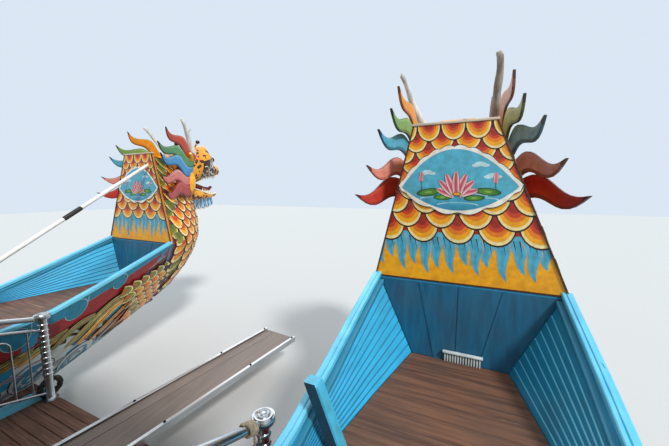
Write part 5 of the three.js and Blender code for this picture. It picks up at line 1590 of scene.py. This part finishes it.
def boards_across(name, node, count, low, high, gap, paint):
    """Boards side by side from low to high, each a copy of the first with a mesh of its own."""
    pitch = (high[0] - low[0]) / count
    first = timber((low[0] + gap, *low[1:]), (low[0] + pitch - gap, *high[1:]), 0.004)
    boards = []
    for k in range(count):
        other = first.copy()
        other.data = first.data.copy()
        scene.collection.objects.link(other)
        other.data.transform(Matrix.Translation((pitch * k, 0, 0)))
        boards.append(other)
    bpy.data.objects.remove(first)
    carpentry(name, boards, "boat", node, paint)

DECK_BOARDS = 50
boards_across("deck_boards", "cabin_deck", DECK_BOARDS, (-3.275, -4.974, 1.2245), (3.275, 3.234, DECK_TOP),
              0.0015, DECK_PAINT)
edges = [timber((-3.3, -5.0, DECK_FOOT), (3.3, -4.9755, DECK_TOP), 0.006),
         timber((-3.3, 3.2355, DECK_FOOT), (3.3, 3.26, DECK_TOP), 0.006)]
edges += [timber((sign * 3.288 - 0.012, -4.975, DECK_FOOT), (sign * 3.288 + 0.012, 3.235, DECK_TOP), 0.005)
          for sign in (-1, 1)]
carpentry("deck_edge_boards", edges, "boat", "cabin_deck", FRAME_BLUE)
print("deck boards", DECK_BOARDS)

# %% Side walls
def window_bars(add, low, high):
    """Frame and glazing bars of one window; add takes (along0, z0, along1, z1, depth)."""
    middle = (low + high) / 2
    for a, b in ((low, low + 0.035), (high - 0.035, high)):
        add(a, SILL_Z + 0.0005, b, HEAD_Z - 0.0005, 0.018)
    for a, b in ((SILL_Z, SILL_Z + 0.04), (HEAD_Z - 0.035, HEAD_Z)):
        add(low + 0.035, a, high - 0.035, b, 0.018)
    add(middle - 0.012, SILL_Z + 0.04, middle + 0.012, CROSS_Z, 0.013)
    add(low + 0.035, CROSS_Z, high - 0.035, CROSS_Z + 0.024, 0.014)

def panes(low, high):
    """The corners of a window's three panes: two below the cross bar and one above it."""
    middle = (low + high) / 2
    return [(low + 0.03, SILL_Z + 0.035, middle - 0.008, CROSS_Z + 0.005),
            (middle + 0.008, SILL_Z + 0.035, high - 0.03, CROSS_Z + 0.005),
            (low + 0.03, CROSS_Z + 0.02, high - 0.03, HEAD_Z - 0.03)]

POST_WIDTH = 0.17

def windows_between(low, high, count):
    """The two edges of each window in a row of equal bays with posts between them."""
    step = (high - low) / count
    return [(low + step * k + POST_WIDTH / 2, low + step * (k + 1) - POST_WIDTH / 2) for k in range(count)]

def walled(name, node, ends, windows, doorway, solid):
    """A wall along one line; solid takes (along0, z0, along1, z1, depth) and makes its timber."""
    studs, boards, frames, glass = [], [], [], []
    places = sorted([*ends, *doorway, *(v for pair in windows for v in pair)])
    for a, b in zip(places[::2], places[1::2]):
        studs.append(solid(a, WALL_FOOT, b, WALL_HEAD, 0.02))
    for a, b in windows:
        for low, high in ((HEAD_Z, WALL_HEAD), (SILL_Z - 0.05, SILL_Z), (WALL_FOOT, WALL_FOOT + 0.1)):
            studs.append(solid(a, low, b, high, 0.02))
        number = round((b - a) / 0.105)
        wide = (b - a) / number
        for k in range(number):
            boards.append(solid(a + wide * k + 0.001, WALL_FOOT + 0.1, a + wide * (k + 1) - 0.001,
                                SILL_Z - 0.05, 0.012))
        window_bars(lambda *corners: frames.append(solid(*corners)), a, b)
        glass += [solid(*corners, 0.002) for corners in panes(a, b)]
    if doorway:
        for low, high in ((WALL_FOOT + 1.96, WALL_HEAD), (WALL_FOOT, WALL_FOOT + 0.06)):
            studs.append(solid(doorway[0], low, doorway[1], high, 0.02))
    carpentry(f"{name}_studs", studs, "boat", node, CREAM)
    carpentry(f"{name}_boards", boards, "boat", node, CREAM)
    carpentry(f"{name}_window_frames", frames, "boat", node, TRIM_RED)
    carpentry(f"{name}_glass", glass, "boat", None, GLASS)

for side, sign in SIDES.items():
    def solid(a0, z0, a1, z1, depth, sign=sign):
        return timber((sign * WALL_X - depth, a0, z0), (sign * WALL_X + depth, a1, z1), 0.003)
    windows = windows_between(-4.4997, 3.0997, 6)
    walled(f"side_wall_{side}", f"cabin_wall_{side}", (-4.5597, 3.1597), windows, (), solid)

# %% End walls
for name, y, door_half in (("front", 3.18, 0.7), ("rear", -4.58, 0.42)):
    def solid(a0, z0, a1, z1, depth, y=y):
        return timber((a0, y - depth, z0), (a1, y + depth, z1), 0.003)
    beside = windows_between(door_half + 0.06, 2.94, 2)
    windows = sorted([(-b, -a) for a, b in beside] + beside)
    walled(f"end_wall_{name}", f"cabin_wall_{name}", (-3.0, 3.0), windows, (-door_half, door_half), solid)
print("walls")

# %% Doors
DOOR_STILE = 0.09

def door(body, y, low_x, high_x, pin_x, handle_x):
    """A framed door with sunk panels below, glass above, and its pins and handles of brass."""
    z0, z1 = WALL_FOOT + 0.068, WALL_FOOT + 1.952
    glass0, glass1, left, right = z0 + 0.9, z1 - 0.11, low_x + DOOR_STILE, high_x - DOOR_STILE
    middle = (low_x + high_x) / 2
    def wood(a0, c0, a1, c1, depth=0.012):
        return timber((a0, y - depth, c0), (a1, y + depth, c1), 0.003)
    leaf = [wood(*corners) for corners in (
        (low_x, z0, left, z1), (right, z0, high_x, z1), (left, z0, right, z0 + 0.14),
        (left, glass1, right, z1), (left, glass0 - 0.1, right, glass0),
        (middle - 0.035, z0 + 0.14, middle + 0.035, glass0 - 0.1))]
    for a, b in ((left, middle - 0.035), (middle + 0.035, right)):
        leaf.append(wood(a, z0 + 0.14, b, glass0 - 0.1, 0.005))
        leaf.append(timber((a + 0.02, y - 0.011, z0 + 0.16), (b - 0.02, y + 0.011, glass0 - 0.12), 0.006,
                           segments=1))
    leaf.append(wood(middle - 0.01, glass0, middle + 0.01, glass1, 0.009))
    carpentry(f"{body}_leaf", leaf, body, body, TRIM_RED)
    pane = wood(left - 0.002, glass0 - 0.002, right + 0.002, glass1 + 0.002, 0.002)
    carpentry(f"{body}_glass", [pane], body, None, GLASS)
    brass = [turned([(0.008, low), (0.008, high)], (pin_x, y, 0), sides=16)
             for low, high in ((z0 - 0.03, z0 + 0.01), (z1 - 0.01, z1 + 0.03))]
    brass += [turned([(0.018, 0.0), (0.018, 0.004), (0.006, 0.006)], (handle_x, y + way * 0.0115, z0 + 0.95),
                     (0, way, 0), 16) for way in (-1, 1)]
    carpentry(f"{body}_brass", brass, body, body, BRASS)

door("door_front_port", 3.18, -0.692, -0.004, -0.668, -0.05)
door("door_front_starboard", 3.18, 0.004, 0.692, 0.668, 0.05)
door("door_rear", -4.58, -0.412, 0.412, 0.388, -0.37)
print("doors", 3)

# %% Benches
for side, sign in SIDES.items():
    def rung(a, b, y0, y1, z0, z1, eased, sign=sign):
        """A length of timber between two distances out from the middle of the cabin."""
        x0, x1 = sorted((sign * a, sign * b))
        return timber((x0, y0, z0), (x1, y1, z1), eased)
    slats = [rung(2.34 + 0.1 * k, 2.34 + 0.1 * k + 0.09, -4.0, 2.5, 1.6956, 1.7206, 0.006) for k in range(5)]
    slats += [rung(2.806, 2.836, -4.0, 2.5, 1.77 + 0.1 * k, 1.85 + 0.1 * k, 0.006) for k in range(3)]
    carpentry(f"bench_slats_{side}", slats, "boat", f"bench_{side}", VARNISH)
    frames = []
    for y in (-3.9, -2.3, -0.7, 0.9, 2.35):
        for a, b, z0, z1 in ((2.38, 2.42, WALL_FOOT, 1.65), (2.762, 2.806, WALL_FOOT, 2.06),
                             (2.42, 2.762, 1.6, 1.65), (2.42, 2.762, 1.38, 1.41)):
            frames.append(rung(a, b, y, y + 0.05, z0, z1, 0.004))
    frames += [rung(a, b, -3.95, 2.45, 1.652, 1.695, 0.004) for a, b in ((2.37, 2.4), (2.78, 2.8))]
    carpentry(f"bench_frames_{side}", frames, "boat", f"bench_{side}", VARNISH)
print("benches")

# %% [markdown]
# ## Roof
# A flat canopy keeps the rain off the sides, and a low wall with louvres carries a tiled gable
# whose eaves turn up. The tiles are stepped courses with a round cover tile over each joint.

# %% Canopy and louvred wall
TILE_RED = finish("roof_tile", "a84a30", "75301f", rough=0.6, grain="none", streak=0.7, grime=0.45, bump=0.6)
CANOPY_FOOT, CANOPY_TOP = 3.3309, 3.4009
carpentry("canopy_sheet", [timber((-3.405, -5.035, 3.374), (3.405, 3.625, 3.3995), 0.006)], "boat",
          "roof_canopy", CREAM)
boards_across("canopy_boards", "roof_canopy", 34, (-3.4, -5.03, 3.3315), (3.4, 3.62, 3.352), 0.001, CREAM)
beams = [timber((-3.4, y - 0.04, 3.352), (3.4, y + 0.04, 3.374), 0.003)
         for y in (-4.8, -3.4, -2.0, -0.6, 0.8, 2.2, 3.4)]
carpentry("canopy_battens", beams, "boat", "roof_canopy", CREAM)
edges = [timber((-3.42, -5.05, CANOPY_FOOT), (3.42, -5.0355, CANOPY_TOP), 0.004),
         timber((-3.42, 3.6255, CANOPY_FOOT), (3.42, 3.64, CANOPY_TOP), 0.004)]
edges += [timber((sign * 3.4127 - 0.0073, -5.035, CANOPY_FOOT), (sign * 3.4127 + 0.0073, 3.625, CANOPY_TOP),
                 0.003) for sign in (-1, 1)]
carpentry("canopy_fascia", edges, "boat", "roof_canopy", TRIM_RED)
UPPER_FOOT, UPPER_SILL, UPPER_HEAD, EAVES_Z = 3.4012, 3.441, 3.601, 3.6412
UPPER_X, UPPER_REAR = 1.84, -3.7
LOUVRES, SLANT = 4, math.radians(32)
parts, louvres = [], []
for hand in HANDS:
    x0, x1 = sorted((hand * UPPER_X, hand * 1.9))
    for low, high in ((UPPER_FOOT, UPPER_SILL), (UPPER_HEAD, EAVES_Z)):
        parts.append(timber((x0, UPPER_REAR, low), (x1, 2.3, high)))
    for k in range(11):
        y = UPPER_REAR + 0.594 * k
        parts.append(timber((x0, y, UPPER_SILL), (x1, y + 0.06, UPPER_HEAD)))
        for n in range(LOUVRES if k < 10 else 0):
            z = 3.462 + 0.04 * n
            louvres.append(timber((hand * 1.87 - 0.025, y + 0.06, z - 0.005),
                                  (hand * 1.87 + 0.025, y + 0.594, z + 0.005),
                                  0.002, Matrix.Rotation(hand * SLANT, 3, "Y").to_euler()))
for y, slant in ((UPPER_REAR, SLANT), (2.24, -SLANT)):
    for low, high in ((UPPER_FOOT, UPPER_SILL), (UPPER_HEAD, EAVES_Z)):
        parts.append(timber((-UPPER_X, y, low), (UPPER_X, y + 0.06, high)))
    for k in range(7):
        x = -UPPER_X + 0.6033 * k
        parts.append(timber((x, y, UPPER_SILL), (x + 0.06, y + 0.06, UPPER_HEAD)))
        for n in range(LOUVRES if k < 6 else 0):
            z = 3.462 + 0.04 * n
            louvres.append(timber((x + 0.06, y + 0.005, z - 0.005), (x + 0.603, y + 0.055, z + 0.005), 0.002,
                                  Matrix.Rotation(slant, 3, "X").to_euler()))
carpentry("upper_wall_frame", parts, "boat", "roof_upper_wall", CREAM)
carpentry("upper_wall_louvres", louvres, "boat", "roof_upper_wall", TRIM_RED)
print("canopy and louvres", len(louvres))

# %% Tiled gable and ridge
ROOF_REAR, ROOF_FRONT = -4.15, 2.75
SLOPE = [(0.0, 0.7), (0.35, 0.54), (0.7, 0.4), (1.1, 0.27), (1.5, 0.16), (1.8, 0.105), (2.05, 0.07),
         (2.2, 0.082), (2.35, 0.11)]

def slope_at(x):
    return EAVES_Z + between(SLOPE, x)[0]

tiles = Shape()
courses = 14
for hand in HANDS:
    top = []
    for k in range(courses):
        a, b = 0.02 + 2.33 * k / courses, 0.02 + 2.33 * (k + 1) / courses
        top += [(a, slope_at(a) - 0.026), (b - 0.004, slope_at(b) - 0.012), (b, slope_at(b) - 0.015)]
    under = [(2.35, EAVES_Z + 0.062), (2.05, EAVES_Z + 0.002), (1.0, EAVES_Z + 0.002),
             (0.02, EAVES_Z + 0.002)]
    tiles.loft([[(hand * x, y, z) for x, z in top + under]
                for y in (ROOF_REAR, -2.4, -0.7, 1.0, ROOF_FRONT)])
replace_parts(tiles.piece("roof_tile_courses", "boat", TILE_RED, smooth=15), "roof_gable")
covers = Shape()
rows = 30
for hand in HANDS:
    for k in range(rows):
        y = ROOF_REAR + 0.06 + (ROOF_FRONT - ROOF_REAR - 0.12) * k / (rows - 1)
        rings = []
        for n in range(courses * 2 + 1):
            x = 0.05 + 2.28 * n / (courses * 2)
            size = 0.036 if n % 2 else 0.032
            rings.append([(hand * x, y + size * math.cos(t), slope_at(x) - 0.026 + size * 0.9 * math.sin(t))
                          for t in (math.pi * i / 7 for i in range(8))])
        covers.loft(rings)
        end = slope_at(2.33) - 0.012
        covers.loft([[(hand * x, y + size * c, end + size * s) for c, s in circle(12)]
                     for x, size in ((2.325, 0.03), (2.345, 0.034), (2.349, 0.02))])
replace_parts(covers.piece("roof_cover_tiles", "boat", TILE_RED, smooth=50), "roof_gable")
gables = Shape()
for y0, y1 in ((ROOF_REAR, ROOF_REAR + 0.04), (ROOF_FRONT - 0.04, ROOF_FRONT)):
    for hand in HANDS:
        line = [(0.0, 0.69)] + [(x, z - 0.012) for x, z in SLOPE[1:]]
        lower = [(2.33, 0.06), (2.0, 0.004), (1.5, 0.05), (0.7, 0.26), (0.0, 0.52)]
        gables.loft([[(hand * x, y, EAVES_Z + z) for x, z in line + lower] for y in (y0, y1)])
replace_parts(gables.piece("gable_barge_boards", "boat", TRIM_RED, smooth=20), "roof_gable")
ridge = Shape()
top_z = EAVES_Z + 0.7
line = [(-4.2, 0.24), (-4.1, 0.2), (-3.98, 0.135), (-3.85, 0.1), (-2.5, 0.085), (0, 0.085), (1.2, 0.085),
        (2.45, 0.1), (2.58, 0.135), (2.7, 0.2), (2.8, 0.24)]
ridge.loft([[(x, y, top_z + z)
             for x, z in ((-0.05, -0.03), (0.05, -0.03), (0.046, h * 0.35), (0.034, h * 0.4),
                          (0.034, h - 0.03), (-0.034, h - 0.03), (-0.034, h * 0.4), (-0.046, h * 0.35))]
            for y, h in line])
for x in (0.036, -0.036):
    ridge.pipe([(x, y, top_z + 0.02) for y in (-4.1, -2, 0, 1.5, 2.7)], 0.016)
ridge.pipe([(0, y, top_z + h - 0.012) for y, h in line], lambda t: 0.032 if 0.03 < t < 0.97 else 0.022,
           sides=12)
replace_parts(ridge.piece("ridge_with_rolls", "boat", TRIM_RED, smooth=40), "roof_ridge")
print("tiles", courses * rows * 2)

# %% [markdown]
# ## Sterns
# Each stern has a carved tail board, a boarded hatch over the engine, a three-bladed propeller and
# a rudder hung on the transom. A blade is a section that turns as it goes out, so it is lofted.

# %% Tail boards
TAIL = [(-7.56, 1.24), (-7.72, 1.5), (-7.9, 1.9), (-7.96, 2.35), (-7.88, 2.7), (-7.78, 2.42), (-7.64, 2.64),
        (-7.6, 2.3), (-7.44, 2.42), (-7.46, 2.05), (-7.33, 1.7), (-7.18, 1.45), (-7.0, 1.21)]
TAIL_LICKS = [
    # root y, z, tip y, z, width, body and light
    (-7.34, 1.5, -7.5, 2.38, 0.16, "3f9db8", "6cbccb"), (-7.52, 1.6, -7.68, 2.6, 0.2, "bb3a30", "c8564a"),
    (-7.68, 1.7, -7.87, 2.66, 0.2, "dc8c16", "e9a52c"),
]
for side in SIDES:
    board = Shape()
    inner = towards(TAIL, (-7.58, 1.9), 0.02, 0.012)
    def standing(y, z):
        return (y, z) if z > 1.33 else (y, max(z, 1.33 if y < -7.46 else 1.225))
    board.loft([[on_hull(side, x, *standing(y, z)) for y, z in line] for x, line in
                ((-0.025, inner), (-0.021, TAIL), (0.021, TAIL), (0.025, inner))], linear("c4541c"))
    for hand in HANDS:
        def face(u, v, height, side=side, hand=hand):
            return on_hull(side, hand * (0.0248 + height), u, v)
        for y0, z0, y1, z1, width, body, light in TAIL_LICKS:
            rings = [(pointed((y0, z0), (y1, z1), width * f, -0.05), c) for f, c in
                     ((1.0, INK), (0.86, linear(body)), (0.4, linear(light)))]
            layered(board, face, rings, 0.001, step=0.0007)
        for row in range(4):
            for k in range(5 - row):
                y, z = -7.12 - 0.12 * k - 0.07 * row, 1.42 + 0.1 * row
                if y < -7.62 or z > 1.72:
                    continue
                rings = [(hanging(y, z + 0.02, 0.13, 0.13, f), c)
                         for f, c in ((1.0, INK), (0.88, RIM), (0.7, ORANGE), (0.35, FLAME_RED))]
                layered(board, face, rings, 0.0014, step=0.0005)
    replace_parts(board.piece(f"tail_board_{side}", "boat", ORNAMENT, smooth=20), f"tail_{side}")
print("tails", 2)

# %% Hatches, engines and fittings
IRON = finish("painted_iron", "2f3a3d", "191f21", rough=0.45, metal=0.4, streak=0.5, grime=0.4, chips=0.05,
              bare="6a4a35")
ENGINE_GREEN = finish("engine_enamel", "4a6a5c", "2f463d", rough=0.35, streak=0.5, grime=0.5, chips=0.04,
                      bare="5a5650")
BED_Z, rear, front = 0.2003, -6.48, -5.78
for side in SIDES:
    def low(x, y, z, side=side):
        return on_hull(side, x, y, z)
    boards = [timber(low(-0.49, -6.62 + 0.1 * k + 0.001, 1.1805), low(0.49, -6.52 + 0.1 * k - 0.001, 1.204),
                     0.003) for k in range(10)]
    carpentry(f"hatch_boards_{side}", boards, f"hatch_{side}", f"hatch_{side}", DECK_PAINT)
    fittings = [timber(low(x - 0.02, -6.56, 1.2035), low(x + 0.02, -5.64, 1.2075), 0.0015)
                for x in (-0.3, 0.3)]
    grip = Shape()
    route = [(-0.058, 1.2), (-0.056, 1.222), (-0.046, 1.232), (0.046, 1.232), (0.056, 1.222), (0.058, 1.2)]
    grip.pipe([low(x, -6.545, z) for x, z in route], 0.008, sides=10)
    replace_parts(grip.piece(f"hatch_grip_{side}", f"hatch_{side}", IRON), f"hatch_{side}")
    carpentry(f"hatch_straps_{side}", fittings, f"hatch_{side}", f"hatch_{side}", IRON)
    block_parts = [timber(low(x0, y0, z0), low(x1, y1, z1), bevel) for x0, y0, z0, x1, y1, z1, bevel in (
        (-0.22, rear, 0.26, 0.22, front, 0.62, 0.02),
        (-0.16, rear + 0.04, 0.62, 0.16, front - 0.06, 0.8, 0.015),
        (-0.3, rear + 0.02, BED_Z, -0.24, front - 0.02, 0.3, 0.006),
        (0.24, rear + 0.02, BED_Z, 0.3, front - 0.02, 0.3, 0.006),
        (-0.24, rear + 0.1, 0.28, 0.24, rear + 0.16, 0.34, 0.006),
        (-0.24, front - 0.16, 0.28, 0.24, front - 0.1, 0.34, 0.006))]
    for k in range(4):
        y = rear + 0.1 + 0.14 * k
        block_parts.append(timber(low(-0.11, y, 0.8), low(0.11, y + 0.1, 0.86), 0.012))
    wheel = [(0.2, 0), (0.2, 0.03), (0.16, 0.035), (0.05, 0.036)]
    block_parts.append(turned(wheel, low(0, front - 0.001 - 0.036, 0.45), (0, 1, 0), 28))
    carpentry(f"engine_block_{side}", block_parts, "boat", f"engine_{side}", ENGINE_GREEN)
    exhaust = Shape()
    exhaust.pipe([low(0.2, front - 0.12, 0.72), low(0.2, rear + 0.2, 0.74), low(0.2, rear + 0.1, 0.7),
                  low(0.2, rear + 0.07, 0.6), low(0.2, rear + 0.06, 0.4)], 0.035, sides=16)
    for k in range(4):
        exhaust.pipe([low(0.12, rear + 0.15 + 0.14 * k, 0.72), low(0.2, rear + 0.15 + 0.14 * k, 0.73)],
                     0.022, sides=10)
    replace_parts(exhaust.piece(f"engine_exhaust_{side}", "boat", IRON, smooth=60), f"engine_{side}")
print("hatches and engines")

# %% Propellers and rudders
BRONZE = finish("cast_bronze", "a07a3c", "5f6a4a", rough=0.35, metal=1.0, streak=0.6, grime=0.3, bump=0.4)
SHAFT_Z, BLADE_Y, RUDDER_Y = -0.27, -7.15, -7.66
for side in SIDES:
    body = f"propeller_{side}"
    axle = on_hull(side, 0, -7.235, SHAFT_Z)
    hub = turned([(0.008, 0.0), (0.02, 0.006), (0.026, 0.02), (0.034, 0.03), (0.042, 0.05), (0.0425, 0.12),
                  (0.034, 0.138), (0.022, 0.14), (0.022, 0.775)],
                 axle, (0, 1, 0), 28)
    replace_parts(carpentry(f"propeller_hub_{side}", [hub], body, None, BRONZE, smooth=50), body)
    blades, middle = Shape(), Vector(on_hull(side, 0, BLADE_Y, SHAFT_Z))
    for n in range(3):
        around = Matrix.Rotation(2 * math.pi * n / 3, 3, "Y")
        rings = []
        for k in range(11):
            t = k / 10
            radius = 0.03 + 0.155 * t
            chord = 0.045 + 0.075 * math.sin(math.pi * min(1, 0.15 + t * 0.85)) ** 0.8 - 0.02 * t
            thick = 0.007 * (1 - 0.75 * t)
            twist = math.radians(62 - 34 * t)
            section = rotated([(chord / 2 * c, thick * s * (1 - 0.4 * c)) for c, s in circle(12)], twist)
            rings.append([middle + around @ Vector((u, v, radius)) for u, v in section])
        blades.loft(rings)
    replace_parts(blades.piece(f"propeller_blades_{side}", body, BRONZE, smooth=60), body)
    body = f"rudder_{side}"
    plate = Shape()
    outline = [(-7.72, 0.64), (-7.72, -0.47), (-8.0, -0.47), (-8.06, -0.2), (-7.96, 0.3), (-7.82, 0.64)]
    inner = towards(outline, (-7.84, 0.0), 0.06, 0.02)
    plate.loft([[on_hull(side, x, y, z) for y, z in line]
                for x, line in ((-0.015, inner), (-0.009, outline), (0.009, outline), (0.015, inner))])
    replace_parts(plate.piece(f"rudder_blade_{side}", body, FRAME_BLUE, smooth=20), body)
    stock = [turned([(0.024, -0.45), (0.024, 0.74), (0.04, 0.741), (0.04, 0.775), (0.034, 0.78)],
                    on_hull(side, 0, RUDDER_Y, 0), sides=24)]
    for z in (-0.42, -0.1, 0.06, 0.44, 0.58):
        stock.append(timber(on_hull(side, -0.012, -7.73, z - 0.02),
                            on_hull(side, 0.012, RUDDER_Y, z + 0.02), 0.003))
    carpentry(f"rudder_stock_{side}", stock, body, body, IRON, smooth=40)
print("propellers and rudders")

# %% Hull bottoms and sterns
def bottom_paint(tree, where):
    """Teal above a wavy line near the water, dull red anti-fouling below it."""
    split = add_node(tree, "SeparateXYZ", {"Vector": where})
    slime = cloud(tree, where, 0.25, 0.3, 0.8)
    line = add_node(tree, "MapRange", {"Value": split.outputs["Z"], "From Min": 0.03, "From Max": 0.05})
    dirty = mixed(tree, slime, linear("6a2a22"), linear("3d3a2a"))
    return mixed(tree, line.outputs[0], dirty, linear("1d86ab"))

HULL_PAINT = finish("hull_paint", "1d86ab", source=bottom_paint, rough=0.45, grain="y", streak=0.6,
                    grime=0.35, chips=0.03, bare="6a5a48")
for side in SIDES:
    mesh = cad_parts[f"hull_{side}"].data
    mesh.materials.clear()
    mesh.materials.append(HULL_PAINT)
    mesh.materials.append(HULL_PAINT)
shown = [n for n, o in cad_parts.items() if not o.hide_render]
print("CAD nodes still shown", shown)

# %% The sizes of the CAD box and of the dressed model
low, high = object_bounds()
{"cad": [list(CAD_BOX[0]), list(CAD_BOX[1])], "visual": [list(low), list(high)]}
